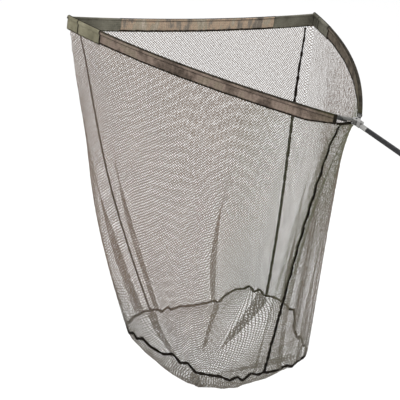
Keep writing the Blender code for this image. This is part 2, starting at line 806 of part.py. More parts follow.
def build_tip_cap(side, label, parent):
    """A cup on the rod's end, with an eye across it for the front cord."""
    centre, _, along = arm_frame(TIP_CAP_FROM)
    bore = ROD_RADIUS_TIP + GAP
    length = TIP_CAP_TO - TIP_CAP_FROM
    floor = ARM_LENGTH - TIP_CAP_FROM
    profile = [
        (0.0, length),
        (bore + 0.0006, length),
        (bore + 0.0018, length - 0.002),
        (bore + 0.0018, 0.0),
        (bore, 0.0),
        (bore, floor),
        (0.0, floor),
    ]
    base, heading = mirrored([centre, along], side)
    cap = turned(f"tip_cap_{label}", profile, base, heading, 24)
    eye = front_point(float(side))
    bpy.context.view_layer.update()
    cut = cylinder(f"tip_cap_eye_{label}", CORD_RADIUS + 3 * GAP, -0.02, 0.02, sides=16)
    cut.data.transform(Matrix.Rotation(math.pi / 2, 4, "Y"))
    cut.location = eye
    boolean(cap, cut, "DIFFERENCE")
    add_part(cap, "nylon", parent)


def build_arm(side, label, parent):
    build_bracket(side, label, parent)
    build_rod(side, label, parent)
    build_tip_cap(side, label, parent)
    bindings = arm_band(
        f"sleeve_binding_{label}", side, BINDING_FROM, BINDING_TO, 0.0006, 0.0016, 1
    )
    add_part(bindings, "binding", parent)
    sleeve = arm_band(
        f"arm_sleeve_{label}", side, SLEEVE_FROM, PATCH_FROM - GAP, 0.0008, 0.0012, 24
    )
    add_part(sleeve, "camouflage", parent)
    patch = arm_band(
        f"tip_patch_{label}", side, PATCH_FROM, PATCH_TO, 0.0008, 0.0014, 3
    )
    add_part(patch, "patch_fabric", parent)


# ---------------------------------------------------------------------------------------------
# Front bar and bag
# ---------------------------------------------------------------------------------------------


def build_front(root):
    stations = 20
    shares = [1.0 - 2.0 * i / stations for i in range(stations + 1)]
    line = [front_point(share) for share in shares]
    # A stopper knob outside each tip cap keeps the cord in its eye.
    knob_steps = [Vector((x, 0.0, 0.0)) for x in (0.0105, 0.0075, 0.0070)]
    points = [line[0] + step for step in knob_steps] + line
    points += [line[-1] - step for step in knob_steps[::-1]]
    knob = [CORD_KNOB_RADIUS, CORD_KNOB_RADIUS, CORD_RADIUS]
    radii = knob + [CORD_RADIUS] * len(line) + knob[::-1]
    add_part(tube("front_cord", points, radii), "cord", root)

    reach = front_point(1.0).x - 0.010
    sleeve_end = reach - FRONT_PATCH_LENGTH
    bore, wall = CORD_RADIUS + 0.0008, 0.0022
    add_part(
        front_band("front_sleeve", -sleeve_end, sleeve_end, 14, bore, wall), "camouflage", root
    )
    for label, side in (("left", -1), ("right", 1)):
        ends = sorted((side * (sleeve_end + GAP), side * reach))
        patch = front_band(f"front_patch_{label}", ends[0], ends[1], 3, bore, wall + 0.0006)
        add_part(patch, "patch_fabric", root)


def build_mouth_binding(root):
    """The dark tape that closes the mouth round the underside of the spreader."""
    stations = 12
    low, high, half = 0.0, 0.0085, 0.0009
    rings = []
    for i in range(stations + 1):
        share = (i / stations * 2 - 1) * SPREADER_SHARE * 0.96
        point = mouth_point(share) + Vector((0, 0, BINDING_LIFT))
        ahead = mouth_point(share + 0.0005) - mouth_point(share - 0.0005)
        across = Vector((ahead.y, -ahead.x, 0.0)).normalized() * half
        rings.append(
            [
                point - across + Vector((0, 0, low)), point + across + Vector((0, 0, low)),
                point + across + Vector((0, 0, high)), point - across + Vector((0, 0, high)),
            ]
        )
    add_part(loft("mouth_binding", rings), "binding", root)


def build_walls(root):
    tapered = SPREADER_SHARE + ARM_SHARE * TAPER_LENGTH / (ARM_LENGTH - BINDING_FROM)
    walls = {
        "right_panel": (handle_seam_share, right_seam_share, 20, (SPREADER_SHARE, tapered)),
        "front_panel": (right_seam_share, left_seam_share, 14, ()),
        "left_panel": (
            left_seam_share, lambda depth: 1 + handle_seam_share(depth), 20, (1 - tapered, 1 - SPREADER_SHARE),
        ),
    }
    for name, (first, last, columns, corners) in walls.items():
        grid = wall_grid(first, last, columns, 12, corners)
        add_part(net_sheet(name, grid), "netting", root)

    grid = []
    for j in range(BASE_RINGS):
        inwards = j / BASE_RINGS
        hollow = math.sin(math.pi * j / (BASE_RINGS - 1)) if j < BASE_RINGS - 1 else 0.0
        row = []
        for i in range(BASE_STEPS):
            share = i / BASE_STEPS
            seam = base_seam_point(share)
            ahead = base_seam_point((i + 0.5) / BASE_STEPS) - base_seam_point((i - 0.5) / BASE_STEPS)
            inward = Vector((-ahead.y, ahead.x)).normalized()
            edge = seam.xy + inward * (EDGE_MARGIN + BASE_SEAM_RADIUS)
            flat = edge.lerp(Vector(BASE_BOTTOM), inwards**1.4)
            bulge = BASE_BULGE * math.exp(-(((share - BULGE_AT) / BULGE_SPREAD) ** 2)) * hollow
            row.append(Vector((*flat, -BAG_DEPTH - BASE_SAG * (1 - (1 - inwards) ** 1.8) - bulge)))
        grid.append(row)
    add_part(net_sheet("base_panel", grid, wraps=True), "netting", root)


def build_seams(root):
    """The sewn tapes between the panels, from the mouth down to a knot at the base seam."""
    seams = {
        "handle_seam": handle_seam_share,
        "right_tip_seam": right_seam_share,
        "left_tip_seam": left_seam_share,
    }
    last = 1 - (BASE_SEAM_RADIUS + 2 * KNOT_RADIUS + 3 * GAP) / BAG_DEPTH
    stations = 12
    for name, share in seams.items():
        depths = [0.001 + (last - 0.001) * i / stations for i in range(stations + 1)]
        points = [bag_point(share(depth), depth) for depth in depths]
        add_part(tube(name, points, [SEAM_RADIUS] * len(points), 2), "binding", root)
        knot = bpy.data.meshes.new(f"{name}_knot")
        shape = bmesh.new()
        bmesh.ops.create_uvsphere(shape, u_segments=10, v_segments=6, radius=KNOT_RADIUS)
        shape.to_mesh(knot)
        shape.free()
        ball = mesh_object(f"{name}_knot", knot)
        foot = bag_point(share(1.0), 1.0)
        ball.location = foot + Vector((0, 0, BASE_SEAM_RADIUS + KNOT_RADIUS + GAP))
        add_part(ball, "binding", root)

    points = [base_seam_point(i / BASE_STEPS) for i in range(BASE_STEPS)]
    radii = [BASE_SEAM_RADIUS] * BASE_STEPS
    add_part(tube("base_seam", points, radii, closed=True), "binding", root)


def main():
    clear_scene()
    new_collection(PARTS)
    new_collection(CUTTERS, hidden=True)
    make_materials()
    pivot = (0.0, ORIGIN_BEHIND_PIVOT, -PLATE_TOP)
    root = empty_at("spreader_frame", pivot)
    build_handle(root)
    build_spreader(root)
    for label, side in (("left", -1), ("right", 1)):
        build_arm(side, label, empty_at(f"arm_pivot_{label}", pivot))
    build_front(root)
    build_mouth_binding(root)
    build_walls(root)
    build_seams(root)


main()
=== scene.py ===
"""The looks of the folding landing net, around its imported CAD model.

Metres, in the CAD model's frame: +Z up, +Y from the handle to the front bar, +X to the right arm.
The soft pieces are laid out from the pivot, in the same few measures as the CAD model.
"""

import json
import math

import bpy
import numpy as np
from mathutils import Matrix, Vector


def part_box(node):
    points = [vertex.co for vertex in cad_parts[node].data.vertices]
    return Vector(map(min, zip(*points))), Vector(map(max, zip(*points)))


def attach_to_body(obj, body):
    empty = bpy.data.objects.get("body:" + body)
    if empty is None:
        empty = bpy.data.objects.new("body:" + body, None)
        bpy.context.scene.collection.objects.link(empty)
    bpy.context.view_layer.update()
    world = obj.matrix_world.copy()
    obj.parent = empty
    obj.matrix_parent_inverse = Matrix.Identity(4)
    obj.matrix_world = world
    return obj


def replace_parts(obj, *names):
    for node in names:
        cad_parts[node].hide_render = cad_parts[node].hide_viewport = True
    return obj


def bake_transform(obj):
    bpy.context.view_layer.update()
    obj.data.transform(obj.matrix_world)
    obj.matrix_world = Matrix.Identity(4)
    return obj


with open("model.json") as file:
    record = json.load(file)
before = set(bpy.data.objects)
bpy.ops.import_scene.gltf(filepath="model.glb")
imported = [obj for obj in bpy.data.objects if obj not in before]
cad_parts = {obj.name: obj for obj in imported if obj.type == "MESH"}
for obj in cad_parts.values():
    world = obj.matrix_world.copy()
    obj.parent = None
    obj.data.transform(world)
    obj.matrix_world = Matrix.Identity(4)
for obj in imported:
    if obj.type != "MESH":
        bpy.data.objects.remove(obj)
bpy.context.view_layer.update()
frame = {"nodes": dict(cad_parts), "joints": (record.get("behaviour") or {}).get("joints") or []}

PIVOT = np.array(frame["joints"][0]["pos_m"], float)

# Arms and front cord, as in the CAD model.
ARM_LENGTH = 1.070
ARM_START = (0.020, 0.010)
ARM_ROOT_ANGLE = math.radians(38.6)
BOW_AT_ROOT, BOW_AT_TIP = 0.30, 0.55
TIP_DROOP = 0.010
CORD_EYE_AT = 1.0745
FRONT_SAG_IN, FRONT_SAG_DOWN = 0.018, 0.008

# Sleeves.
SLEEVE_TOP, FRONT_SLEEVE_TOP = 0.0062, 0.0050
ARM_BAND, FRONT_BAND = 0.0450, 0.0490
BAND_TAPER, TAPER_LENGTH = 0.0150, 0.090  # the arm bands are this much lower by the spreader
BINDING_FROM, SLEEVE_FROM, PATCH_FROM, PATCH_END = 0.0345, 0.0403, 0.914, 1.0860
FRONT_PATCH_LENGTH = 0.178
TUNNEL_RADIUS, FRONT_TUNNEL_RADIUS = 0.0062, 0.0034

# Bag.
BAG_DEPTH, BASE_SAG = 1.011, 0.106
SEAM_PUCKER = 0.0080
HEM_GAP = 0.0018
MOUTH_BACK, MOUTH_RISE = 0.0200, 0.0080
HANDLE_SEAM_LEAN = 0.019
RIGHT_SEAM_LEAN, LEFT_SEAM_LEAN = -0.0075, 0.0060
BASE_OUTLINE = np.array([
    (0.005, 0.180), (0.112, 0.188), (0.225, 0.250), (0.260, 0.378), (0.328, 0.496), (0.294, 0.640),
    (0.208, 0.699), (0.058, 0.636), (-0.104, 0.635), (-0.205, 0.635), (-0.317, 0.592), (-0.333, 0.504),
    (-0.275, 0.382), (-0.216, 0.244), (-0.108, 0.172),
])
MOUTH_TO_BASE = [(0.0, 0.0), (0.05, 0.041), (0.375, 0.33), (0.625, 0.60), (0.95, 0.960), (1.0, 1.0)]
HANG = [
    (0.00, 0.40, -0.002), (0.05, 0.46, -0.044), (0.15, 1.09, -0.003), (0.25, 0.86, 0.005),
    (0.37, 0.70, 0.037), (0.50, 2.28, 0.019), (0.63, 1.02, 0.035), (0.72, 1.27, 0.078),
    (0.82, 1.14, 0.010), (0.92, 0.88, 0.001), (1.00, 0.40, -0.002),
]
RIGHT_SEAM_AT, LEFT_SEAM_AT = 0.375, 0.625
BAG_MIDDLE, SEAM_MIDDLE = np.array([0.0, 0.45]), np.array([0.0, 0.42])
SPREADER_SHARE, ARM_SHARE, FRONT_SHARE = 0.04, 0.32, 0.28

# Netting: diamonds between twisted strands.
HALF_DIAMOND = 0.0050
STRAND, BASE_STRAND = 0.0020, 0.0025
STRAND_RIDGE = 0.0007
STRAND_WANDER = 0.00060
STRAND_BY_HANDLE = 0.0009  # pulled thin where the bag gathers behind the spreader
BASE_STEPS = 70  # half diamonds from the middle of the base to its seam
THIN_REACH, THIN_FADE = 0.28, 0.16  # how far in front of the pivot the thin strands are, and fade
THIN_FURTHER, THIN_FURTHER_FROM = 0.20, 0.15  # and how much further on the right

FLOOR_LEVEL = -2.1
SIDES = (("left", -1), ("right", 1))


# --- The net's lines, as arrays of points measured from the pivot ---


def smoothstep(t):
    t = np.clip(t, 0.0, 1.0)
    return t * t * (3 - 2 * t)


def steps(line):
    """The distance from each point of a line to the next."""
    return np.linalg.norm(np.diff(line, axis=0), axis=1)


def distances(line):
    """How far along a line each of its points is."""
    return np.concatenate([[0.0], np.cumsum(steps(line))])


def outwards(flat):
    """Unit directions away from the bag's middle, seen from above."""
    away = flat - BAG_MIDDLE
    return away / np.linalg.norm(away, axis=-1, keepdims=True)


def table_of_arm():
    """The rod's axis, drawn out step by step from its direction."""
    s = np.linspace(0.0, 1.10, 1101)
    middle = (s[1:] + s[:-1]) / 2
    angle = arm_angle(middle)
    step = s[1] - s[0]
    x = ARM_START[0] + np.concatenate([[0.0], np.cumsum(np.sin(angle) * step)])
    y = ARM_START[1] + np.concatenate([[0.0], np.cumsum(np.cos(angle) * step)])
    return s, x, y


def arm_angle(s):
    """The rod's direction at s metres along it, from +Y outwards."""
    return ARM_ROOT_ANGLE - (BOW_AT_ROOT * s + (BOW_AT_TIP - BOW_AT_ROOT) * s * s / (2 * ARM_LENGTH))


ARM_S, ARM_X, ARM_Y = table_of_arm()


def arm_line(s):
    """The right rod's axis."""
    s = np.asarray(s, float)
    droop = -TIP_DROOP * (s / ARM_LENGTH) ** 2
    return np.stack([np.interp(s, ARM_S, ARM_X), np.interp(s, ARM_S, ARM_Y), droop], -1)


CORD_END = arm_line(CORD_EYE_AT)


def front_line(share):
    """The front cord's axis, from the left tip (share -1) to the right tip (share 1)."""
    share = np.asarray(share, float)
    slack = 1 - share**2
    x, y, z = CORD_END
    return np.stack([share * x, y - FRONT_SAG_IN * slack, z - FRONT_SAG_DOWN * slack], -1)


def band_height(s):
    """How tall the band on an arm is, s metres along it."""
    past = np.clip((np.asarray(s, float) - BINDING_FROM) / TAPER_LENGTH, 0, 1)
    return ARM_BAND - BAND_TAPER * (1 - past)


def mouth_line(share):
    """The bag's upper edge under the hems, from the middle of the spreader round by the right."""
    share = np.asarray(share, float) % 1.0
    side = np.where(share <= 0.5, 1.0, -1.0)
    near = np.minimum(share, 1 - share)
    front_low = FRONT_SLEEVE_TOP - FRONT_BAND - HEM_GAP
    first, last = BINDING_FROM - 0.001, ARM_LENGTH - 0.004
    corner = arm_line(first)
    corner_low = SLEEVE_TOP - band_height(first) - HEM_GAP
    t = np.clip(near / SPREADER_SHARE, 0, 1)
    back = np.cos(t * math.pi / 2)
    under = np.stack(
        [
            corner[0] * np.sin(t * math.pi / 2),
            corner[1] - MOUTH_BACK * back,
            corner_low + MOUTH_RISE * back**2,
        ],
        -1,
    )
    t = np.clip((near - SPREADER_SHARE) / ARM_SHARE, 0, 1)
    s = first + (last - first) * t
    arm = arm_line(s)
    arm_low = SLEEVE_TOP - band_height(s) - HEM_GAP
    arm[..., 2] += arm_low + (front_low - arm_low) * np.clip(t * 10 - 9, 0, 1)
    t = np.clip((near - SPREADER_SHARE - ARM_SHARE) / (FRONT_SHARE / 2), 0, 1)
    front = front_line(0.985 * (1 - t))
    front[..., 2] += front_low
    point = np.where((near < SPREADER_SHARE)[..., None], under, arm)
    point = np.where((near >= SPREADER_SHARE + ARM_SHARE)[..., None], front, point)
    point[..., 0] *= side
    return point


def base_line(share):
    """The base seam: a closed curve through its outline, puckered up and down by its stitching."""
    count = len(BASE_OUTLINE)
    share = np.asarray(share, float) % 1.0
    at = share * count
    k = np.floor(at).astype(int) % count
    t = (at - np.floor(at))[..., None]
    p0, p1, p2, p3 = (BASE_OUTLINE[(k + i) % count] for i in (-1, 0, 1, 2))
    bend, turn = 2 * p0 - 5 * p1 + 4 * p2 - p3, 3 * p1 - p0 - 3 * p2 + p3
    flat = 0.5 * (2 * p1 + (p2 - p0) * t + bend * t**2 + turn * t**3)
    kinks = np.arcsin(np.sin(150 * share + 3 * ripple(share * 40, seed=12)))
    pucker = ripple(share * 60, seed=9) + 0.55 * kinks
    pucker = pucker * smoothstep(np.minimum(share, 1 - share) / 0.03)
    return np.concatenate([flat, (-BAG_DEPTH + SEAM_PUCKER * pucker)[..., None]], -1)


def from_table(table, share):
    """What a table of (share, value, ...) gives at a share, for each of its values."""
    columns = np.array(table).T
    return [np.interp(share % 1.0, columns[0], column) for column in columns[1:]]


def bag_wall(share, depth):
    """A point on the bag's wall: share runs round the mouth, depth from 0 at the mouth to 1 at the
    base seam."""
    share, depth = np.broadcast_arrays(np.asarray(share, float), np.asarray(depth, float))
    straightness, belly = from_table(HANG, share)
    top, low = mouth_line(share), base_line(from_table(MOUTH_TO_BASE, share)[0])
    depth_in = np.clip(depth, 0.0, 1.0)
    reach = (depth_in**straightness)[..., None]
    flat = top[..., :2] * (1 - reach) + low[..., :2] * reach
    height = top[..., 2] + (low[..., 2] - top[..., 2]) * depth
    flat = flat + outwards(flat) * (belly * np.sin(math.pi * depth_in))[..., None]
    return np.concatenate([flat, height[..., None]], -1)


def handle_seam_share(depth):
    return -HANDLE_SEAM_LEAN * (1 - np.clip(depth, 0, 1)) ** 3


def right_seam_share(depth):
    return RIGHT_SEAM_AT + RIGHT_SEAM_LEAN * (1 - np.clip(depth, 0, 1)) ** 6


def left_seam_share(depth):
    return LEFT_SEAM_AT + LEFT_SEAM_LEAN * (1 - np.clip(depth, 0, 1)) ** 6


def ripple(*phases, seed=0):
    """A smooth wavering between about -1 and 1, from a few sines of unlike lengths."""
    random = np.random.default_rng(seed)
    total = 0.0
    for size in (1.0, 0.6, 0.4):
        wave = random.uniform(0, 2 * math.pi)
        for phase in phases:
            wave = wave + phase * random.uniform(0.6, 1.7)
        total = total + size * np.sin(wave)
    return total / 2


# --- Materials ---


def new_material(name):
    material = bpy.data.materials.new(name)
    material.use_nodes = True
    return material, material.node_tree, material.node_tree.nodes["Principled BSDF"]


def feed(tree, node, inputs):
    """Sets a node's inputs, by name or number, to values or links them to other nodes' outputs."""
    for socket, value in inputs.items():
        target = node.inputs[socket]
        if isinstance(value, bpy.types.NodeSocket):
            tree.links.new(value, target)
        elif target.type == "RGBA":
            target.default_value = (*value, 1.0)
        else:
            target.default_value = value


def add_node(tree, kind, inputs, output, **settings):
    """Adds a node, and gives one of its outputs."""
    node = tree.nodes.new("ShaderNode" + kind)
    for name, value in settings.items():
        setattr(node, name, value)
    feed(tree, node, inputs)
    return node.outputs[output]


def position(tree, scale=(1, 1, 1), turn=0.0):
    """Object coordinates, turned about X and stretched by scale along each axis."""
    here = add_node(tree, "TexCoord", {}, "Object")
    inputs = {"Vector": here, "Rotation": (math.radians(turn), 0.0, 0.0), "Scale": scale}
    return add_node(tree, "Mapping", inputs, "Vector")


def noise(tree, vector, scale, detail=4.0, roughness=0.55):
    inputs = {"Vector": vector, "Scale": scale, "Detail": detail, "Roughness": roughness}
    return add_node(tree, "TexNoise", inputs, "Fac")


def waves(tree, vector, axis, scale, distortion):
    inputs = {"Vector": vector, "Scale": scale, "Distortion": distortion}
    return add_node(tree, "TexWave", inputs, "Fac", bands_direction=axis)


def calculate(tree, operation, first, second):
    return add_node(tree, "Math", {0: first, 1: second}, 0, operation=operation)


def fade(tree, vector, axis, start, end, most=1.0):
    """Nothing where the vector's axis is at start, and most where it is at end."""
    place = add_node(tree, "SeparateXYZ", {"Vector": vector}, axis)
    inputs = {"Value": place, "From Min": start, "From Max": end, "To Max": most}
    return add_node(tree, "MapRange", inputs, "Result", interpolation_type="SMOOTHSTEP")


def ramp(tree, factor, stops):
    node = tree.nodes.new("ShaderNodeValToRGB")
    elements = node.color_ramp.elements
    while len(elements) < len(stops):
        elements.new(0.5)
    for element, (place, colour) in zip(elements, stops):
        element.position = place
        element.color = (*colour, 1.0)
    feed(tree, node, {"Fac": factor})
    return node.outputs["Color"]


def greys(tree, factor, *stops):
    """A ramp of greys from (place, level)."""
    return ramp(tree, factor, [(place, (level, level, level)) for place, level in stops])


def mix(tree, factor, first, second, blend="MIX"):
    """Two colours mixed. The node's colours are its inputs 6 and 7 and its output 2."""
    inputs = {0: factor, 6: first, 7: second}
    return add_node(tree, "Mix", inputs, 2, data_type="RGBA", blend_type=blend)


def bumps(tree, height, strength, distance):
    inputs = {"Height": height, "Strength": strength, "Distance": distance}
    return add_node(tree, "Bump", inputs, "Normal")


WEAVE_PITCH = 0.0011
# The darker, greener colour that fabrics turn towards the spreader.
SPREADER_END_COLOUR = (0.045, 0.045, 0.017)
DARKEST_AT = 0.04  # where a fabric is darkest and greenest, in front of the pivot


def weave(tree):
    """Crossing threads, as a height from 0 to 1."""
    vector = position(tree)
    threads = [waves(tree, vector, axis, 1 / (WEAVE_PITCH * 20), 0.6) for axis in "XZ"]
    return calculate(tree, "MAXIMUM", *threads)


def fabric_material(name, colours, blotch, streak=(1, 1, 1), spreader_darkening=(0.13, 0.55)):
    """Woven fabric with a printed pattern: colours are stops of a noise of that blotch scale. The last
    argument gives how far from the spreader the fabric starts to turn darker and greener, and how much it
    does at most."""
    material, tree, shader = new_material(name)
    printed = ramp(tree, noise(tree, position(tree, streak), blotch, 4.0, 0.62), colours)
    grain = greys(tree, noise(tree, position(tree), 420.0, 2.0), (0.3, 0.62), (0.7, 1.25))
    threads = weave(tree)
    shade = greys(tree, threads, (0.0, 0.72), (0.8, 1.08))
    woven = mix(tree, 0.7, mix(tree, 0.8, printed, grain, "MULTIPLY"), shade, "MULTIPLY")
    # Darker and greener towards the spreader, as far and as much as the last argument gives.
    reach, most = spreader_darkening
    toward_spreader = fade(tree, position(tree), "Y", reach, DARKEST_AT, most)
    feed(tree, shader, {
        "Base Color": mix(tree, toward_spreader, woven, SPREADER_END_COLOUR),
        "Roughness": 0.92,
        "Specular IOR Level": 0.12,
        "Normal": bumps(tree, threads, 0.5, 0.0004),
    })
    return material


def plain_material(
    name, colour, roughness, metallic=0.0, spread=0.25, scale=60.0, bump=0.1, streak=(1, 1, 1),
    shine=0.3,
):
    """One colour with fine variation in shade, polish and height."""
    material, tree, shader = new_material(name)
    pattern = noise(tree, position(tree, streak), scale)
    dark = tuple(c * (1 - spread) for c in colour)
    light = tuple(min(1.0, c * (1 + spread)) for c in colour)
    smoothest, roughest = max(0.05, roughness - 0.10), min(1.0, roughness + 0.10)
    polish = {"Value": pattern, "To Min": smoothest, "To Max": roughest}
    feed(tree, shader, {
        "Base Color": ramp(tree, pattern, [(0.3, dark), (0.7, light)]),
        "Roughness": add_node(tree, "MapRange", polish, "Result"),
        "Metallic": metallic,
        "Specular IOR Level": shine,
        "Normal": bumps(tree, pattern, bump, 0.0003),
    })
    return material


def netting_material():
    """Twisted strands that vary a little in tone, greyer round the bag's base, and with painted shade at
    the back of the bag where they gather and hang from the spreader: a darker, greener colour there."""
    material, tree, shader = new_material("net_strands")
    vector = position(tree)
    brown = [(0.3, (0.186, 0.145, 0.116)), (0.7, (0.232, 0.181, 0.146))]
    strands = ramp(tree, noise(tree, vector, 9.0), brown)
    at_back = fade(tree, vector, "Y", 0.36, 0.14)
    above_base = fade(tree, vector, "Z", -1.20, -0.50)
    near_base = fade(tree, vector, "Z", -0.80, -1.00)
    # Painted shade where the strands gather behind the spreader, above the base.
    gather_shade = calculate(tree, "MULTIPLY", at_back, above_base)
    greyer = mix(tree, near_base, strands, (0.168, 0.152, 0.130))
    greener = mix(tree, gather_shade, greyer, (0.150, 0.150, 0.098))
    feed(tree, shader, {"Base Color": greener, "Roughness": 0.85, "Specular IOR Level": 0.15})
    return material


def carbon_material():
    """Wound carbon tube: crossing dark bands under a satin lacquer, with faint mottling."""
    material, tree, shader = new_material("carbon_tube")
    bands = [waves(tree, position(tree, turn=turn), "Y", 14.0, 0.4) for turn in (35, -35)]
    black = [(0.1, (0.008, 0.008, 0.009)), (0.7, (0.022, 0.022, 0.024))]
    wound = ramp(tree, calculate(tree, "MULTIPLY", *bands), black)
    mottle = greys(tree, noise(tree, position(tree, (1, 0.35, 1)), 90.0), (0.35, 0.65), (0.7, 1.4))
    mottled = mix(tree, 0.8, wound, mottle, "MULTIPLY")
    feed(tree, shader, {"Base Color": mottled, "Roughness": 0.38, "Specular IOR Level": 0.30})
    return material


CAMOUFLAGE = [
    (0.30, (0.055, 0.042, 0.033)), (0.42, (0.135, 0.103, 0.083)), (0.50, (0.215, 0.165, 0.135)),
    (0.58, (0.175, 0.144, 0.108)), (0.70, (0.265, 0.213, 0.172)),
]
# Painted shade: the camouflage darkened for the right arm's sleeve, whose inner side is in shade.
CAMOUFLAGE_SHADE = [
    (0.30, (0.040, 0.033, 0.024)), (0.45, (0.100, 0.082, 0.064)), (0.56, (0.150, 0.125, 0.097)),
    (0.70, (0.190, 0.160, 0.120)),
]
CAMOUFLAGE_DARK = [
    (0.32, (0.012, 0.010, 0.007)), (0.48, (0.030, 0.025, 0.018)), (0.66, (0.055, 0.045, 0.033)),
]
CAMOUFLAGE_BRIGHT = [
    (0.30, (0.090, 0.074, 0.064)), (0.42, (0.220, 0.192, 0.158)), (0.50, (0.405, 0.300, 0.215)),
    (0.58, (0.305, 0.270, 0.205)), (0.68, (0.460, 0.390, 0.315)),
]
OLIVE = [
    (0.30, (0.122, 0.114, 0.076)), (0.50, (0.204, 0.190, 0.130)), (0.70, (0.270, 0.252, 0.178)),
]
OLIVE_DARK = [
    (0.30, (0.085, 0.080, 0.062)), (0.50, (0.140, 0.134, 0.105)), (0.70, (0.200, 0.190, 0.150)),
]

materials = {
    "camouflage": fabric_material("camouflage_fabric", CAMOUFLAGE, 16.0),
    "camouflage_bright": fabric_material(
        "front_camouflage_fabric", CAMOUFLAGE_BRIGHT, 26.0, streak=(1, 1, 0.35)
    ),
    # The right arm's sleeve: painted shade, with darker colours, and darker and greener further along the
    # arm from the spreader.
    "camouflage_shade": fabric_material(
        "shaded_camouflage_fabric", CAMOUFLAGE_SHADE, 16.0, spreader_darkening=(0.45, 0.80)
    ),
    "tunnel": fabric_material("tunnel_fabric", CAMOUFLAGE_DARK, 22.0),
    "patch": fabric_material("patch_fabric", OLIVE, 12.0),
    # Darker olive for the front bar's end patches, and as painted shade on the right arm's pocket.
    "patch_darker": fabric_material("darker_patch_fabric", OLIVE_DARK, 14.0),
    "hem": plain_material(
        "hem_tape", (0.012, 0.010, 0.007), 0.95, spread=0.6, scale=300.0, bump=0.5, shine=0.08
    ),
    "thread": plain_material(
        "stitch_thread", (0.012, 0.010, 0.008), 0.8, spread=0.3, scale=500.0, shine=0.08
    ),
    "seam": plain_material(
        "seam_tape", (0.010, 0.008, 0.006), 0.95, spread=0.6, scale=260.0, bump=0.6, shine=0.08
    ),
    "netting": netting_material(),
    "steel": plain_material(
        "satin_steel", (0.36, 0.355, 0.345), 0.34, 1.0, spread=0.08, scale=500.0, bump=0.06,
        streak=(1, 0.04, 1),
    ),
    # Painted shade: the brackets' steel is darkened to stand in for their shaded sides.
    "shaded_steel": plain_material(
        "bracket_steel", (0.130, 0.128, 0.120), 0.38, 1.0, spread=0.15, scale=400.0, bump=0.06
    ),
    "dark_steel": plain_material(
        "black_steel", (0.028, 0.028, 0.028), 0.40, 0.6, spread=0.3, scale=300.0
    ),
    "nylon": plain_material("black_nylon", (0.030, 0.030, 0.030), 0.50, spread=0.2, scale=200.0),
    "glass_fibre": plain_material(
        "glass_fibre_rod", (0.030, 0.030, 0.028), 0.38, spread=0.35, scale=160.0, streak=(0.2, 0.2, 1)
    ),
    "foam": plain_material("grip_foam", (0.024, 0.024, 0.025), 0.95, spread=0.4, scale=700.0, bump=0.9),
    "rubber": plain_material("butt_rubber", (0.020, 0.020, 0.020), 0.75, scale=250.0, bump=0.2),
    "cord": plain_material(
        "braided_cord", (0.040, 0.036, 0.030), 0.85, spread=0.5, scale=600.0, bump=0.5
    ),
    "carbon": carbon_material(),
}

CAD_MATERIALS = {
    "carbon": ["handle_front_section", "handle_butt_section"],
    "steel": ["spreader_block", "spreader_top_plate", "spreader_bottom_plate"],
    "shaded_steel": ["arm_bracket_left", "arm_bracket_right"],
    "dark_steel": [
        "handle_insert", "handle_ferrule", "plate_rivet", "rod_rivet_left", "rod_rivet_right",
    ],
    "nylon": ["washer_upper", "washer_middle", "washer_lower", "tip_cap_left", "tip_cap_right"],
    "glass_fibre": ["arm_rod_left", "arm_rod_right"],
}
EDGE_WIDTH = {
    "spreader_block": 0.0008, "spreader_top_plate": 0.0005, "spreader_bottom_plate": 0.0005,
    "arm_bracket_left": 0.0003, "arm_bracket_right": 0.0003,
}


def finish_cad_nodes():
    """The CAD nodes that stay get their materials, and the metal ones rounded edges."""
    for material, names in CAD_MATERIALS.items():
        for name in names:
            for slot in frame["nodes"][name].material_slots:
                slot.link = "OBJECT"
                slot.material = materials[material]
    for name, width in EDGE_WIDTH.items():
        bevel = frame["nodes"][name].modifiers.new("edges", "BEVEL")
        bevel.width = width
        bevel.segments = 2
        bevel.limit_method = "ANGLE"
        bevel.angle_limit = math.radians(40)


# --- Making pieces ---


def make_object(name, points, faces, material, smooth=True):
    """A mesh piece from points measured from the pivot and faces of one size or of several."""
    mesh = bpy.data.meshes.new(name)
    points = np.asarray(points, float).reshape(-1, 3) + PIVOT
    sizes = np.array([len(face) for face in faces], np.int32)
    corners = np.concatenate([np.asarray(face, np.int32) for face in faces])
    mesh.vertices.add(len(points))
    mesh.vertices.foreach_set("co", points.astype(np.float32).ravel())
    mesh.loops.add(len(corners))
    mesh.loops.foreach_set("vertex_index", corners)
    mesh.polygons.add(len(sizes))
    starts = np.concatenate([[0], np.cumsum(sizes)[:-1]])
    mesh.polygons.foreach_set("loop_start", starts.astype(np.int32))
    mesh.polygons.foreach_set("use_smooth", np.full(len(sizes), smooth))
    mesh.update(calc_edges=True)
    mesh.validate()
    mesh.materials.append(materials[material])
    obj = bpy.data.objects.new(name, mesh)
    bpy.context.scene.collection.objects.link(obj)
    return obj


def ring_faces(rings, count):
    """Quads between rings of count vertices each, with an end face on the first and the last."""
    faces = []
    for a in range(0, (rings - 1) * count, count):
        b = a + count
        faces += [(a + i, a + (i + 1) % count, b + (i + 1) % count, b + i) for i in range(count)]
    faces.append(tuple(range(count))[::-1])
    faces.append(tuple(range((rings - 1) * count, rings * count)))
    return faces


def directions(line):
    """Unit directions along a line of points."""
    ahead = np.gradient(line, axis=0)
    return ahead / np.linalg.norm(ahead, axis=1, keepdims=True)


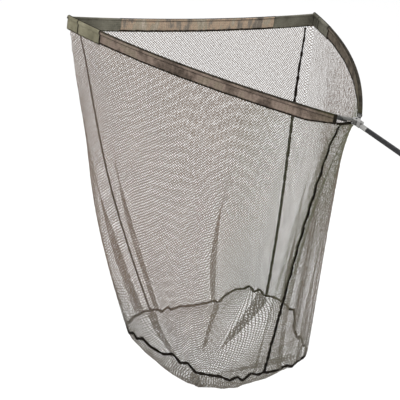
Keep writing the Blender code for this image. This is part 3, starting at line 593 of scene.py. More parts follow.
def sweep(name, line, outward, section, material):
    """A section swept along a line. The section is an array of (across, up) for each point of the
    line, or one for all; across runs along outward, and up is square to it and to the line."""
    line, outward = np.asarray(line, float), np.asarray(outward, float)
    along = directions(line)
    outward = outward - along * (outward * along).sum(1, keepdims=True)
    outward /= np.linalg.norm(outward, axis=1, keepdims=True)
    up = np.cross(outward, along)
    up *= np.where(up[:, 2:3].sum() < 0, -1, 1)
    section = np.broadcast_to(section, (len(line),) + np.shape(section)[-2:])
    points = line[:, None] + outward[:, None] * section[..., :1] + up[:, None] * section[..., 1:]
    return make_object(name, points, ring_faces(len(line), points.shape[1]), material)


def edging(name, line, outward, section):
    """A dark tape swept along a line."""
    return sweep(name, line, outward, section, "hem")


def ellipse(half_width, half_height, sides=8):
    turns = np.arange(sides) * 2 * math.pi / sides
    return np.stack([half_width * np.cos(turns), half_height * np.sin(turns)], -1)


def follow_arm(obj):
    """Applies the piece's placement to its points."""
    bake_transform(obj)


def attach(obj, body):
    """Rides on the body, or where that is None has its placement applied to its points."""
    if body:
        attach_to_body(obj, body)
    else:
        follow_arm(obj)


# --- Netting ---


def netting(name, grid, first_column=1, last_column=None, inside=None, width=STRAND):
    """A sheet of netting on a grid of points: a diamond hole about every other grid point, between
    strands of about the given width that are raised along their middles and thinner by the handle.
    Only the columns from first to last get holes, and where inside is given only the grid points it
    marks."""
    rows, columns = grid.shape[:2]
    last_column = columns - 2 if last_column is None else last_column
    random = np.random.default_rng(7)
    uneven = random.normal(0.0, STRAND_WANDER, grid.shape)
    uneven[[0, -1]] = 0.0
    grid = grid + uneven
    across, down = np.gradient(grid, axis=1), np.gradient(grid, axis=0)
    normal = np.cross(across, down)
    normal /= np.linalg.norm(normal, axis=-1, keepdims=True) + 1e-12
    r, c = np.meshgrid(np.arange(1, rows - 1), np.arange(1, columns - 1), indexing="ij")
    keep = ((r + c) % 2 == 1) & (c >= first_column) & (c <= last_column)
    if inside is not None:
        keep &= inside[1:-1, 1:-1]
    r, c = r[keep], c[keep]
    neighbours = [(r - 1, c), (r, c + 1), (r + 1, c), (r, c - 1)]
    centre = grid[r, c]
    corners = np.stack([grid[at] for at in neighbours], 1)
    tall = np.linalg.norm(corners[:, 2] - corners[:, 0], axis=1) / 2
    wide = np.linalg.norm(corners[:, 1] - corners[:, 3], axis=1) / 2
    pitch = 2 * tall * wide / np.hypot(tall, wide)
    reach = THIN_REACH + THIN_FURTHER * smoothstep(centre[:, 0] / THIN_FURTHER_FROM)
    by_handle = smoothstep((reach - centre[:, 1]) / THIN_FADE)
    above_base = smoothstep((centre[:, 2] + BAG_DEPTH - 0.05) / 0.15)
    strand = width + (STRAND_BY_HANDLE - width) * by_handle * above_base
    strand = strand * np.sqrt(pitch / (math.sqrt(2) * HALF_DIAMOND))  # thinner where drawn together
    shrink = 1 - np.clip(strand / pitch, 0.10, 0.80)
    inner = centre[:, None] + (corners - centre[:, None]) * shrink[:, None, None]
    raised = normal * STRAND_RIDGE / 2
    inner -= raised[r, c][:, None]
    outer = (grid + raised).reshape(-1, 3)
    outer_index = np.stack([at[0] * columns + at[1] for at in neighbours], 1)
    inner_index = len(outer) + np.arange(len(r) * 4).reshape(-1, 4)
    after = [1, 2, 3, 0]
    quads = np.stack([outer_index, outer_index[:, after], inner_index[:, after], inner_index], -1)
    points = np.concatenate([outer, inner.reshape(-1, 3)])
    used, quads = np.unique(quads.reshape(-1), return_inverse=True)
    return make_object(name, points[used], quads.reshape(-1, 4), "netting")


def cloth_area(obj):
    areas = np.empty(len(obj.data.polygons), np.float32)
    obj.data.polygons.foreach_get("area", areas)
    return float(areas.sum())


def declare_netting(obj):
    """Applies the netting's placement to its points, and measures its area."""
    follow_arm(obj)
    area = cloth_area(obj)


# Folds where the netting doubles back on itself: share of the mouth's edge at the top and at the
# base, half width as a share, depth where it starts, and how far the layers lie apart.
FOLDS = [
    (0.640, 0.648, 0.011, 0.40, 0.006),
    (0.600, 0.607, 0.008, 0.35, 0.005),
    (0.380, 0.500, 0.008, 0.50, 0.005),
    (0.262, 0.228, 0.013, 0.35, 0.008),
    (0.170, 0.150, 0.011, 0.35, 0.006),
    (0.120, 0.108, 0.009, 0.45, 0.005),
    (0.026, 0.044, 0.009, 0.00, 0.006),
    (0.950, 0.965, 0.005, 0.05, 0.004),
    (0.330, 0.338, 0.009, 0.50, 0.005),
    (0.720, 0.712, 0.007, 0.65, 0.004),
]


def folded_wall(share, depth):
    """The bag's wall with its folds and its slight waves."""
    share, depth = np.broadcast_arrays(np.asarray(share, float), np.asarray(depth, float))
    moved = share.copy()
    lift = 0.0016 * ripple(share * 55, depth * 7, seed=4) * np.sin(math.pi * np.clip(depth, 0, 1))
    for top, base, half, start, apart in FOLDS:
        place = top + (base - top) * depth
        x = ((share - place + 0.5) % 1.0 - 0.5) / half
        x = x - 0.20 * ripple(depth * 5, seed=int(top * 1000))
        hump = x * np.exp(-x * x) * smoothstep((depth - start) / 0.40)
        moved = moved - 2.8 * half * hump
        lift = lift - 2.0 * apart * hump
    point = bag_wall(moved, depth)
    point[..., :2] += outwards(point[..., :2]) * lift[..., None]
    return point


def wall_grid(first_seam, last_seam):
    """The points of the netting between two seams, from inside the hems down to the base seam, and
    the width it was cut to."""
    depth = np.linspace(-0.010, 1.0, 2 * int(BAG_DEPTH / HALF_DIAMOND / 2) + 1)
    first, last = first_seam(depth), last_seam(depth)
    edge = mouth_line(np.linspace(float(first[0]), float(last[0]), 400))
    width = float(steps(edge).sum())
    across = np.linspace(0.0, 1.0, 2 * int(width / HALF_DIAMOND / 2) + 1)[None]
    share = first[:, None] + (last - first)[:, None] * across
    return folded_wall(share, depth[:, None]), width


def wall_netting(name, first_seam, last_seam, node):
    grid, width = wall_grid(first_seam, last_seam)
    obj = netting(name, grid)
    declare_netting(obj)
    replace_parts(obj, node)


def front_netting():
    """The wall under the front bar, in two halves that meet strand to strand."""
    grid, width = wall_grid(right_seam_share, left_seam_share)
    middle = grid.shape[1] // 2
    right = netting("net_front_right", grid, last_column=middle)
    declare_netting(right)
    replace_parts(right, "front_panel")
    left = netting("net_front_left", grid, first_column=middle + 1)
    declare_netting(left)


BASE_CENTRE = np.array([-0.03, 0.39])
BASE_LENGTHWAYS = np.array([0.876, -0.483])  # from its left corner to its right one
BASE_BOTTOM = np.array([-0.12, 0.345])  # where it hangs lowest
BASE_BULGE, BULGE_AT, BULGE_SPREAD = 0.026, 0.80, 0.07  # it hangs further along its left side
BASE_SWELL = 0.038  # how far it swells out under its seam
BASE_REACH, BASE_DROP = 1.47, 1.8  # how its profile curves, inwards and down
FLATTER_RIGHT, FLATTER_LEFT = 0.79, 0.08  # how much less it curves by its two corners

# Folds in the base, each from a knot on its seam towards its middle: place on the seam, half width.
BASE_FOLDS = [(0.592, 0.018), (0.455, 0.010), (0.338, 0.018), (0.125, 0.012), (0.860, 0.012)]


def base_point(share, inwards):
    """A point on the base, from its seam (0) to its lowest point (1). It swells out under the seam,
    hangs down to a rounded bottom, and is pulled flatter towards its right corner."""
    share, inwards = np.broadcast_arrays(np.asarray(share, float), np.asarray(inwards, float))
    seam = base_line(share)
    away = seam[..., :2] - BASE_CENTRE
    lengthways = away @ BASE_LENGTHWAYS / np.linalg.norm(away, axis=-1)
    by_corner = lengthways**8
    flatter = np.where(lengthways > 0, FLATTER_RIGHT, FLATTER_LEFT) * by_corner
    swell = BASE_SWELL * (1 - by_corner) * np.sin(math.pi * np.clip(inwards * 2.2, 0, 1))
    reach = inwards ** (BASE_REACH - flatter) - swell
    drop = BASE_SAG * (1 - (1 - inwards) ** BASE_DROP)
    bulge = BASE_BULGE * np.exp(-(((share - BULGE_AT) / BULGE_SPREAD) ** 2))
    drop = drop + bulge * np.sin(math.pi * inwards) ** 0.8
    crumple = 0.003 * ripple(share * 20, inwards * 5, seed=11) * np.sin(math.pi * inwards) ** 0.7
    flat = seam[..., :2] * (1 - reach[..., None]) + BASE_BOTTOM * reach[..., None]
    level = -BAG_DEPTH + (seam[..., 2] + BAG_DEPTH) * (1 - inwards) ** 3
    return np.concatenate([flat, (level - drop + crumple)[..., None]], -1)


def folded_base(share, inwards):
    """The base with the folds that run in from its seam."""
    share, inwards = np.broadcast_arrays(share, inwards)
    moved = share.copy()
    lift = np.zeros(share.shape)
    for place, half in BASE_FOLDS:
        curl = 0.06 * inwards * inwards
        x = (share - place - curl) / half
        hump = x * np.exp(-x * x) * smoothstep(inwards / 0.08) * smoothstep((0.92 - inwards) / 0.4)
        moved = moved - 3.2 * half * hump
        lift = lift - 0.010 * hump
    point = base_point(moved, inwards)
    point[..., 2] += lift
    return point


def base_netting():
    """The round of netting that closes the bag, in two halves that meet strand to strand. It is one
    flat round of diamonds, stretched to the seam's outline."""
    flat = np.arange(-BASE_STEPS, BASE_STEPS + 1) / (BASE_STEPS - 2)
    across, along = np.meshgrid(flat, flat)
    from_middle = np.hypot(across, along)
    share = (np.arctan2(across, -along) / (2 * math.pi)) % 1.0
    grid = folded_base(share, 1 - np.minimum(from_middle, 1.0))
    inside = from_middle < 1.0
    right = netting("net_base_right", grid, BASE_STEPS + 1, None, inside, BASE_STRAND)
    left = netting("net_base_left", grid, 1, BASE_STEPS, inside, BASE_STRAND)
    for half, side in ((right, 1), (left, -1)):
        declare_netting(half)
    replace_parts(right, "base_panel")


# --- Seams ---


KNOT_RADIUS, KNOT_LIFT, KNOT_THREAD = 0.0042, 0.0035, 0.0019
SEAM_THICKNESS = 0.0026  # half, as are the next ones
SEAM_WIDTH, HANDLE_SEAM_WIDTH, BASE_SEAM_WIDTH, BASE_SEAM_THICKNESS = 0.0037, 0.0038, 0.0050, 0.0042


def seam_strip(name, line, half_width, half_thickness, wander, seed):
    """A gathered seam tape along a line, wandering and changing in width as it goes."""
    count = len(line)
    along = np.linspace(0.0, 1.0, count)
    outward = np.concatenate([line[:, :2] - SEAM_MIDDLE, np.zeros((count, 1))], 1)
    outward /= np.linalg.norm(outward, axis=1, keepdims=True)
    sideways = np.cross(directions(line), outward)
    length = float(steps(line).sum())
    drift = ripple(along * length * 70, seed=seed)[:, None] * wander
    bunching = 1 + 0.35 * ripple(along * length * 160, seed=seed + 1)
    line = line + sideways * drift
    size = np.stack([np.full(count, half_thickness), np.broadcast_to(half_width, count) * bunching], -1)
    return sweep(name, line, outward, ellipse(1.0, 1.0)[None] * size[:, None], "seam")


def wall_seams():
    """The seams from the mouth to the base, each with the knot it ends in."""
    depth = np.linspace(0.002, 0.998, 150)
    handle_width = HANDLE_SEAM_WIDTH + 0.0024 * smoothstep(depth * 2.5)
    tip_width = SEAM_WIDTH + 0.0018 * smoothstep(depth * 3)
    seams = [
        ("handle_seam", handle_seam_share(depth), handle_width, 0.0030, -1),
        ("right_tip_seam", right_seam_share(depth), tip_width, 0.0008, 1),
        ("left_tip_seam", left_seam_share(depth), tip_width, 0.0008, -1),
    ]
    for number, (name, share, half_width, wander, side) in enumerate(seams):
        line = folded_wall(share, depth)
        seam = seam_strip(f"{name}_tape", line, half_width, SEAM_THICKNESS, wander, 20 + number)
        follow_arm(seam)
        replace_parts(seam, name)
        knot = knot_piece(f"{name}_end_knot", line[-1], 30 + number)
        follow_arm(knot)
        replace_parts(knot, f"{name}_knot")


def knot_piece(name, place, seed):
    """A tight lump of thread where a seam meets the base seam."""
    turns = np.linspace(0, 2 * math.pi * 3.5, 60)
    tilt = turns * 0.31 + seed
    middle = place + np.array([0, 0, KNOT_LIFT])
    across, along = KNOT_RADIUS * np.cos(turns), KNOT_RADIUS * np.sin(turns)
    line = middle + np.stack([across * np.cos(tilt), along, across * np.sin(tilt)], -1)
    outward = line - middle + 1e-5
    return sweep(name, line, outward, ellipse(KNOT_THREAD, KNOT_THREAD, 6), "seam")


def base_seams():
    """The seam round the base, in a left and a right half."""
    for label, side, start in (("right", 1, 0.0), ("left", -1, 0.5)):
        line = base_line(np.linspace(start, start + 0.5, 260))
        seam = seam_strip(
            f"base_seam_{label}", line, BASE_SEAM_WIDTH, BASE_SEAM_THICKNESS, 0.0030, 40 + side
        )
        follow_arm(seam)
        if side > 0:
            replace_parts(seam, "base_seam")


# --- Sleeves ---


TUNNEL_POINTS, FALL_POINTS = 15, 7
NIP_AT = 1.12  # the sewn line under a rod, in radii of the tunnel below the rod's axis
FALL_SHAPE = np.array([0.8, 1.25, 1.4, 1.4, 1.3, 1.1, 1.0])  # the band's thickness from nip to hem
HEM_THICKNESS = 0.0023
ARM_HEM, POCKET_HEM, FRONT_HEM, FRONT_PATCH_HEM = 0.0030, 0.0019, 0.0040, 0.0026  # half heights
ARM_STITCHES, FRONT_STITCHES = 0.0062, 0.0085  # how far above the hem they are sewn
SLEEVE_WAVE, PATCH_WAVE = 0.0016, 0.0010  # how far a hem waves to and fro
POCKET_FOLD_AT, POCKET_EDGE = 1.022, 0.0042


def band_outlines(radius, top, height, half=0.0011):
    """A hanging band round a rod at each station, as (across, up) from the rod's axis: a round
    tunnel, a nip where it is sewn under the rod, then two layers down to the hem. The radius and the
    height are given for each station."""
    radius, height = np.broadcast_arrays(np.asarray(radius, float), np.asarray(height, float))
    turns = np.radians(np.linspace(-62, 242, TUNNEL_POINTS))
    tunnel = radius[:, None, None] * np.stack([np.cos(turns), np.sin(turns)], -1)
    tunnel[..., 1] = np.minimum(tunnel[..., 1], top)
    down = np.linspace(0.0, 1.0, FALL_POINTS)
    nip, hem = -radius[:, None] * NIP_AT, top - height[:, None]
    levels = nip + (hem - nip) * down
    widths = np.broadcast_to(half * FALL_SHAPE, levels.shape)
    left = np.stack([-widths, levels], -1)
    right = np.stack([widths, levels], -1)[:, ::-1]
    return np.concatenate([tunnel, left, right], 1)


def arm_frames(s, side):
    """Points along one arm's rod, with the outward direction at each."""
    s = np.asarray(s, float)
    line = arm_line(s)
    angle = arm_angle(s)
    outward = np.stack([np.cos(angle), -np.sin(angle), np.zeros(len(s))], -1)
    mirror = np.array([side, 1.0, 1.0])
    return line * mirror, outward * mirror


def wrinkled(sections, s, size, seed):
    """The band's outlines with their hanging part waving to and fro, and how far the hem has moved."""
    fall = np.clip(-sections[..., 1] / 0.030, 0, 1) ** 1.2
    wave = ripple(s * 34, seed=seed) * 0.55 + ripple(s * 95, seed=seed + 1) * 0.30
    quilt = ripple(s[:, None] * 210, sections[..., 1] * 260, seed=seed + 2)
    moved = sections.copy()
    moved[..., 0] += size * wave[:, None] * fall
    moved[..., 0] += 0.00035 * quilt * np.sign(sections[..., 0]) * fall
    return moved, size * wave


def paint_tunnel(obj, material):
    """The faces over the rod get a second material."""
    obj.data.materials.append(materials[material])
    count = TUNNEL_POINTS + 2 * FALL_POINTS
    indices = np.zeros(len(obj.data.polygons), np.int32)
    round_rod = abs(np.arange(len(indices)) % count - TUNNEL_POINTS // 2 + 0.5) < 3
    obj.data.polygons.foreach_set("material_index", np.where(round_rod, 1, 0).astype(np.int32))


STITCH_PITCH = 0.0045
STITCH_RADIUS = 0.00045
STITCH_OFFSET = 0.0019  # from the middle of the band


def stitch_row(name, line, outward, level, body):
    """A row of sewn stitches along a line, on the side of a band that outward points to."""
    seat = line + outward * STITCH_OFFSET
    seat[:, 2] += level
    distance = distances(seat)
    starts = np.arange(STITCH_PITCH, distance[-1] - STITCH_PITCH, STITCH_PITCH)
    points, faces = [], []
    half_length, half = STITCH_PITCH * 0.33, STITCH_RADIUS
    for start in starts:
        back, ahead = (
            np.array([np.interp(start + step, distance, seat[:, k]) for k in range(3)])
            for step in (-half_length, half_length)
        )
        out = np.array([np.interp(start, distance, outward[:, k]) for k in range(3)])
        middle = (back + ahead) / 2
        up = np.array([0.0, 0.0, half])
        first = len(points)
        points += [back, middle + up, middle + out * half * 1.3, middle - up]
        points += [middle - out * half, ahead]
        for a, b in ((1, 2), (2, 3), (3, 4), (4, 1)):
            faces.append((first, first + b, first + a))
            faces.append((first + 5, first + a, first + b))
    attach(make_object(name, points, faces, "thread", smooth=False), body)


def add_hem(name, line, outward, level, half_height, seed, body):
    """A rough dark binding along the lower edge of a band."""
    distance = distances(line)
    rough = 1 + 0.30 * ripple(distance * 230, seed=seed)
    drop = 0.0006 * ripple(distance * 120, seed=seed + 1)
    seat = line.copy()
    seat[:, 2] += level + half_height + drop
    section = ellipse(HEM_THICKNESS, half_height)[None] * rough[:, None, None]
    attach(edging(name, seat, outward, section), body)


def arm_sleeves():
    """The camouflage sleeve on each arm, with its hem, its stitches and its bound end."""
    for label, side in SIDES:
        body = f"arm_{label}"
        s = np.arange(SLEEVE_FROM, PATCH_FROM + 0.004, 0.006)
        line, outward = arm_frames(s, side)
        radius = TUNNEL_RADIUS + 0.0004
        outlines = band_outlines(radius, SLEEVE_TOP, band_height(s))
        outlines, sway = wrinkled(outlines, s, SLEEVE_WAVE, 50 + side)
        # The right arm's sleeve takes the copy with painted shade.
        fabric = "camouflage" if side < 0 else "camouflage_shade"
        sleeve = sweep(f"sleeve_{label}", line, outward, outlines, fabric)
        paint_tunnel(sleeve, "tunnel")
        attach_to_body(sleeve, body)
        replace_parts(sleeve, f"arm_sleeve_{label}")

        level = SLEEVE_TOP - band_height(s)
        swayed = line + outward * sway[:, None]
        add_hem(f"sleeve_hem_{label}", swayed, outward, level, ARM_HEM, 60 + side, body)
        nip_line = line + np.array([0, 0, -radius * NIP_AT])
        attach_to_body(edging(f"tunnel_seam_{label}", nip_line, outward, ellipse(0.0022, 0.0011)), body)
        for face, place in ((1, "out"), (-1, "in")):
            row = f"sleeve_stitches_{label}_{place}"
            stitch_row(row, swayed, outward * face, level + ARM_STITCHES, body)

        # The bound end of the sleeve by the spreader.
        s = np.linspace(BINDING_FROM, SLEEVE_FROM + 0.0040, 8)
        line, outward = arm_frames(s, side)
        outlines = band_outlines(radius + 0.0007, SLEEVE_TOP + 0.0003, band_height(s) + 0.0003, 0.0022)
        outlines[[0, -1]] *= 0.97
        end = edging(f"sleeve_end_{label}", line, outward, outlines)
        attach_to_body(end, body)
        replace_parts(end, f"sleeve_binding_{label}")


def tip_pockets():
    """The reinforced pocket on each arm's tip, closed over the rod's end."""
    for label, side in SIDES:
        body = f"arm_{label}"
        s = np.concatenate([np.arange(PATCH_FROM, 1.078, 0.004), [1.080, 1.083, 1.0850, PATCH_END]])
        line, outward = arm_frames(s, side)
        radius = TUNNEL_RADIUS + 0.0010
        height = ARM_BAND + 0.0035
        top = SLEEVE_TOP + 0.0006
        outlines = band_outlines(radius, top, height + 0 * s, 0.0017)
        outlines, sway = wrinkled(outlines, s, PATCH_WAVE, 70 + side)
        close = np.clip((PATCH_END - s) / 0.009, 0, 1)
        pinch = np.sqrt(1 - (1 - close) ** 2) * 0.93 + 0.07
        outlines[..., 0] *= pinch[:, None]
        outlines[..., 1] = (outlines[..., 1] + 0.018) * (0.90 + 0.10 * pinch[:, None]) - 0.018
        # The right arm's pocket takes the darker olive, as painted shade.
        fabric = "patch" if side < 0 else "patch_darker"
        pocket = sweep(f"tip_pocket_{label}", line, outward, outlines, fabric)
        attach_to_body(pocket, body)
        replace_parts(pocket, f"tip_patch_{label}")

        swayed = (line + outward * sway[:, None])[:-3]
        low = top - height
        add_hem(f"tip_pocket_hem_{label}", swayed, outward[:-3], low, POCKET_HEM, 75 + side, body)
        top_line = line[:-3] + np.array([0, 0, radius * 0.95])
        piping = edging(f"tip_pocket_piping_{label}", top_line, outward[:-3], ellipse(0.0018, 0.0012))
        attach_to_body(piping, body)
        # The stitched edge where the pocket is sewn over the sleeve, and the fold near the tip.
        edges = ((PATCH_FROM - 0.003, 0.0006), (POCKET_FOLD_AT, 0.0002))
        for number, (start, extra) in enumerate(edges):
            s = np.linspace(start, start + POCKET_EDGE, 5)
            line, outward = arm_frames(s, side)
            around = radius + extra + 0 * s
            outlines = band_outlines(around, top + extra, height + extra, 0.0019 + extra)
            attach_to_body(edging(f"tip_pocket_edge_{label}_{number + 1}", line, outward, outlines), body)


def front_piece(name, start, end, extra, material, side, seed, wave):
    """Part of the front bar's fabric, between two distances from its middle. Gives the piece, and
    the line of its hem with the outward direction there."""
    x = np.arange(start, end + 0.003, 0.006) * side
    line = front_line(x / CORD_END[0])
    outward = np.tile([0.0, 1.0, 0.0], (len(x), 1))
    radius, height = FRONT_TUNNEL_RADIUS + extra, FRONT_BAND + 0 * x
    outlines = band_outlines(radius, FRONT_SLEEVE_TOP, height, 0.0012 + extra)
    outlines, sway = wrinkled(outlines, x, wave, seed)
    band = sweep(name, line, outward, outlines, material)
    follow_arm(band)
    return band, line + outward * sway[:, None], outward


def front_bar():
    """The fabric round the front cord: a camouflage sleeve between two plain ends."""
    low = FRONT_SLEEVE_TOP - FRONT_BAND
    patch_from = CORD_END[0] - 0.010 - FRONT_PATCH_LENGTH
    for label, side in SIDES:
        sleeve, line, outward = front_piece(
            f"front_sleeve_{label}", 0.0, patch_from + 0.004, 0.0, "camouflage_bright",
            side, 80, SLEEVE_WAVE,
        )
        if side > 0:
            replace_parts(sleeve, "front_sleeve")
        add_hem(f"front_hem_{label}", line, outward, low, FRONT_HEM, 85, None)
        for face, place in ((1, "out"), (-1, "in")):
            row = f"front_stitches_{label}_{place}"
            stitch_row(row, line, outward * face, low + FRONT_STITCHES, None)
        nip = front_line(line[:, 0] / CORD_END[0])
        for place, level, half in (("under", -0.0050, 0.0007), ("top", 0.0034, 0.0012)):
            seat = nip + np.array([0, 0, level])
            tape = edging(f"front_{place}_seam_{label}", seat, outward, ellipse(0.0021, half))
            follow_arm(tape)

        patch, line, outward = front_piece(
            f"front_patch_{label}_fabric", patch_from, CORD_END[0] - 0.002, 0.0006, "patch_darker",
            side, 90, PATCH_WAVE,
        )
        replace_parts(patch, f"front_patch_{label}")
        add_hem(f"front_patch_hem_{label}", line, outward, low, FRONT_PATCH_HEM, 95, None)


CORD_POINTS, CORD_RADIUS = 60, 0.0015
CORD_KNOB = [  # how far past the eye of the tip cap, and its radius there
    (0.0070, 0.0015), (0.0075, 0.0030), (0.0090, 0.0033), (0.0100, 0.0026), (0.0104, 0.0012),
]


def front_cords():
    """The cord through the front sleeve, in a left and a right half, with its stopper knobs."""
    past, knob = np.array(CORD_KNOB).T
    radius = np.concatenate([np.full(CORD_POINTS, CORD_RADIUS), knob])
    section = ellipse(1, 1)[None] * radius[:, None, None]
    for label, side in SIDES:
        share = side * np.linspace(0.0, 1.0, CORD_POINTS)
        end = CORD_END * [side, 1, 1] + np.outer(side * past, [1.0, 0.0, 0.0])
        line = np.concatenate([front_line(share), end])
        outward = np.tile([0.0, 1.0, 0.0], (len(line), 1))
        cord = sweep(f"front_cord_{label}", line, outward, section, "cord")
        follow_arm(cord)
        if side > 0:
            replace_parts(cord, "front_cord")


def spreader_strap():
    """The dark tape that closes the mouth under the spreader."""
    share = np.linspace(-SPREADER_SHARE * 0.96, SPREADER_SHARE * 0.96, 60)
    line = mouth_line(share) + np.array([0, 0, 0.0060])
    outward = line - np.array([0.0, 0.30, 0.0])
    outward[:, 2] = 0.0
    crumple = 1 + 0.25 * ripple(share * 500, seed=15)
    section = ellipse(0.0011, 0.0048, 10)[None] * np.stack([crumple, np.ones(60)], -1)[:, None]
    strap = edging("spreader_strap", line, outward, section)
    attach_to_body(strap, "handle")
    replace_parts(strap, "mouth_binding")


# --- Handle and spreader details ---


BACKWARDS = (0.0, -1.0, 0.0)
NECK_END, STUD_RADIUS, STUD_LENGTH = 0.0580, 0.0045, 0.024
NECK_GROOVES = (0.0360, 0.0375)
GRIP_BORE, CAP_BORE = 0.0126, 0.0125
TURNED_SIDES = 48


def turned(name, profile, place, direction, material):
    """A turned piece from (radius, distance along its axis), on the handle's body."""
    axis = Vector(direction).normalized()
    side = axis.orthogonal().normalized()
    other = axis.cross(side)
    rings = []
    for radius, distance in profile:
        middle = Vector(place) + axis * distance
        for turn in np.arange(TURNED_SIDES) * 2 * math.pi / TURNED_SIDES:
            out = side * math.cos(turn) + other * math.sin(turn)
            rings.append(tuple(middle + out * max(radius, 1e-5)))
    obj = make_object(name, np.array(rings), ring_faces(len(profile), TURNED_SIDES), material)
    obj.data.set_sharp_from_angle(angle=math.radians(40))
    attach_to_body(obj, "handle")
    return obj


def groove(radius, bottom, start, width, slope):
    """A groove round a turned piece; slope is the share of its width that each side takes."""
    return [
        (radius, start),
        (bottom, start + width * slope),
        (bottom, start + width * (1 - slope)),
        (radius, start + width),
    ]


def along_handle(node):
    """The radius of a CAD piece on the handle, and where it starts and ends behind the pivot."""
    low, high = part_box(node)
    return (high.z - low.z) / 2, PIVOT[1] - high.y, PIVOT[1] - low.y


def turned_neck(place):
    """The neck, with two fine grooves and the stud that goes into the handle."""
    radius, start, _ = along_handle("spreader_neck")
    profile = [(0.0, start), (radius * 0.80, start), (radius, start + 0.0015)]
    for at in NECK_GROOVES:
        profile += groove(radius, radius * 0.95, at, 0.0010, 0.3)
    stud_end = NECK_END + STUD_LENGTH
    profile += [(radius, NECK_END - 0.0008), (radius * 0.93, NECK_END), (STUD_RADIUS, NECK_END)]
    profile += [(STUD_RADIUS, stud_end - 0.0010), (STUD_RADIUS - 0.0008, stud_end), (0.0, stud_end)]
    neck = turned("spreader_neck_turned", profile, place, BACKWARDS, "steel")
    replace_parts(neck, "spreader_neck")


def turned_pin():
    """The pivot pin, with a chamfer at its foot and a small centre mark in its top."""
    _, pin_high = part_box("pivot_pin")
    top = pin_high.z - PIVOT[2]
    foot = [(0.0, -top), (0.0023, -top), (0.0030, -top + 0.0007)]
    head = [(0.0030, top - 0.0007), (0.0024, top), (0.0016, top), (0.0014, top - 0.0006)]
    profile = foot + head + [(0.0, top - 0.0006)]
    pin = turned("pivot_pin_turned", profile, (0, 0, 0), (0, 0, 1), "dark_steel")
    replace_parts(pin, "pivot_pin")


def turned_grip(place):
    """The foam grip, with a soft swell and shallow finger rings near its front."""
    radius, start, end = along_handle("handle_grip")
    profile = [(GRIP_BORE, start), (GRIP_BORE + 0.0008, start)]
    first, last = start + 0.012, end - 0.004
    for t in np.linspace(0, 1, 90):
        z = first + (last - first) * t
        ring = 0.0
        if t < 0.22:
            ring = 0.0007 * max(0.0, math.cos((z - start) * 2 * math.pi / 0.012)) ** 8
        profile.append((radius - 0.0006 * (1 - math.sin(math.pi * t)) - ring, z))
    profile += [(radius - 0.002, end), (GRIP_BORE, end)]
    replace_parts(turned("grip_foam", profile, place, BACKWARDS, "foam"), "handle_grip")


def turned_cap(place):
    """The rubber butt cap, ribbed round its side."""
    radius, start, end = along_handle("butt_cap")
    profile = [(CAP_BORE, start), (radius - 0.0008, start), (radius, start + 0.0008)]
    for at in np.arange(start + 0.006, end - 0.008, 0.0035):
        profile += groove(radius, radius - 0.0007, at, 0.0018, 1 / 3)
    profile += [(radius, end - 0.002), (radius - 0.0006, end - 0.0006)]
    profile += [(radius - 0.002, end), (0.0, end)]
    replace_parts(turned("butt_cap_rubber", profile, place, BACKWARDS, "rubber"), "butt_cap")


def handle_pieces():
    """The turned pieces of the handle and the spreader, on the handle's axis."""
    low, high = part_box("spreader_neck")
    place = (0.0, 0.0, (low.z + high.z) / 2 - PIVOT[2])
    turned_neck(place)
    turned_pin()
    turned_grip(place)
    turned_cap(place)


# --- Stage, light and camera ---


def make_stage():
    """A wide, pale floor below the bag."""
    mesh = bpy.data.meshes.new("floor")
    half = 60.0
    corners = [(-half, -half, 0), (half, -half, 0), (half, half, 0), (-half, half, 0)]
    mesh.from_pydata(corners, [], [(0, 1, 2, 3)])
    floor = bpy.data.objects.new("floor", mesh)
    floor.location.z = FLOOR_LEVEL
    bpy.context.scene.collection.objects.link(floor)
    material, tree, shader = new_material("studio_floor")
    white = (0.95, 0.95, 0.95)
    feed(tree, shader, {"Base Color": white, "Roughness": 1.0, "Specular IOR Level": 0.0})
    mesh.materials.append(material)


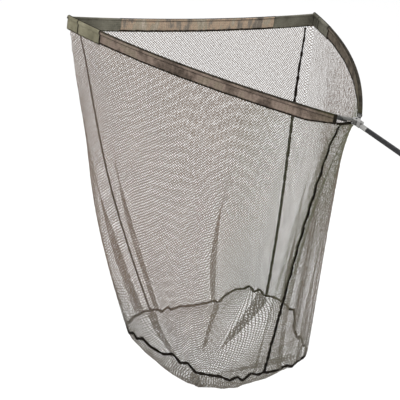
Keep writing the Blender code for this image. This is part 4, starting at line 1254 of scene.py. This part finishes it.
def add_area(name, place, target, size, power):
    light = bpy.data.lights.new(name, "AREA")
    light.shape = "SQUARE"
    light.size = size
    light.energy = power
    obj = bpy.data.objects.new(name, light)
    obj.location = place
    obj.rotation_mode = "QUATERNION"
    obj.rotation_quaternion = (Vector(target) - Vector(place)).to_track_quat("-Z", "Y")
    bpy.context.scene.collection.objects.link(obj)


WORLD_LIGHT = 1.03
LIT_PLACE = (0.0, 0.4, -0.4)


def make_light():
    """An even white surround, with a large soft light on either side."""
    world = bpy.data.worlds.new("studio")
    world.use_nodes = True
    tree = world.node_tree
    feed(tree, tree.nodes["Background"], {"Color": (1.0, 1.0, 1.0), "Strength": WORLD_LIGHT})
    bpy.context.scene.world = world
    add_area("key", (-3.2, -1.6, 3.6), LIT_PLACE, 2.6, 90.0)
    add_area("fill", (3.4, -2.0, 1.8), LIT_PLACE, 3.0, 35.0)
    bpy.context.scene.view_settings.view_transform = "Standard"


CAMERA_AT = (-2.166, -2.5505, 1.2305)
CAMERA_RIGHT, CAMERA_DOWN = (0.865, -0.4768, 0.1562), (-0.0861, -0.4478, -0.89)
CAMERA_AHEAD = (0.4943, 0.7564, -0.4284)
CAMERA_SENSOR, CAMERA_LENS = 36.0, 108.45  # in millimetres


def make_camera():
    """The viewpoint: from the left of the handle, looking down on the mouth."""
    data = bpy.data.cameras.new("camera")
    data.sensor_width, data.lens = CAMERA_SENSOR, CAMERA_LENS
    camera = bpy.data.objects.new("camera", data)
    right, down, ahead = (Vector(v).normalized() for v in (CAMERA_RIGHT, CAMERA_DOWN, CAMERA_AHEAD))
    turn = Matrix((right, -down, -ahead)).transposed()
    camera.matrix_world = Matrix.Translation(CAMERA_AT) @ turn.to_4x4()
    bpy.context.scene.collection.objects.link(camera)
    bpy.context.scene.camera = camera


# --- Everything, in order ---


def make_netting():
    def handle_seam_again(depth):
        return 1 + handle_seam_share(depth)

    wall_netting("net_right", handle_seam_share, right_seam_share, "right_panel")
    front_netting()
    wall_netting("net_left", left_seam_share, handle_seam_again, "left_panel")
    base_netting()


make_camera()
make_light()
make_stage()
finish_cad_nodes()
make_netting()
wall_seams()
base_seams()
arm_sleeves()
tip_pockets()
front_bar()
front_cords()
spreader_strap()
handle_pieces()
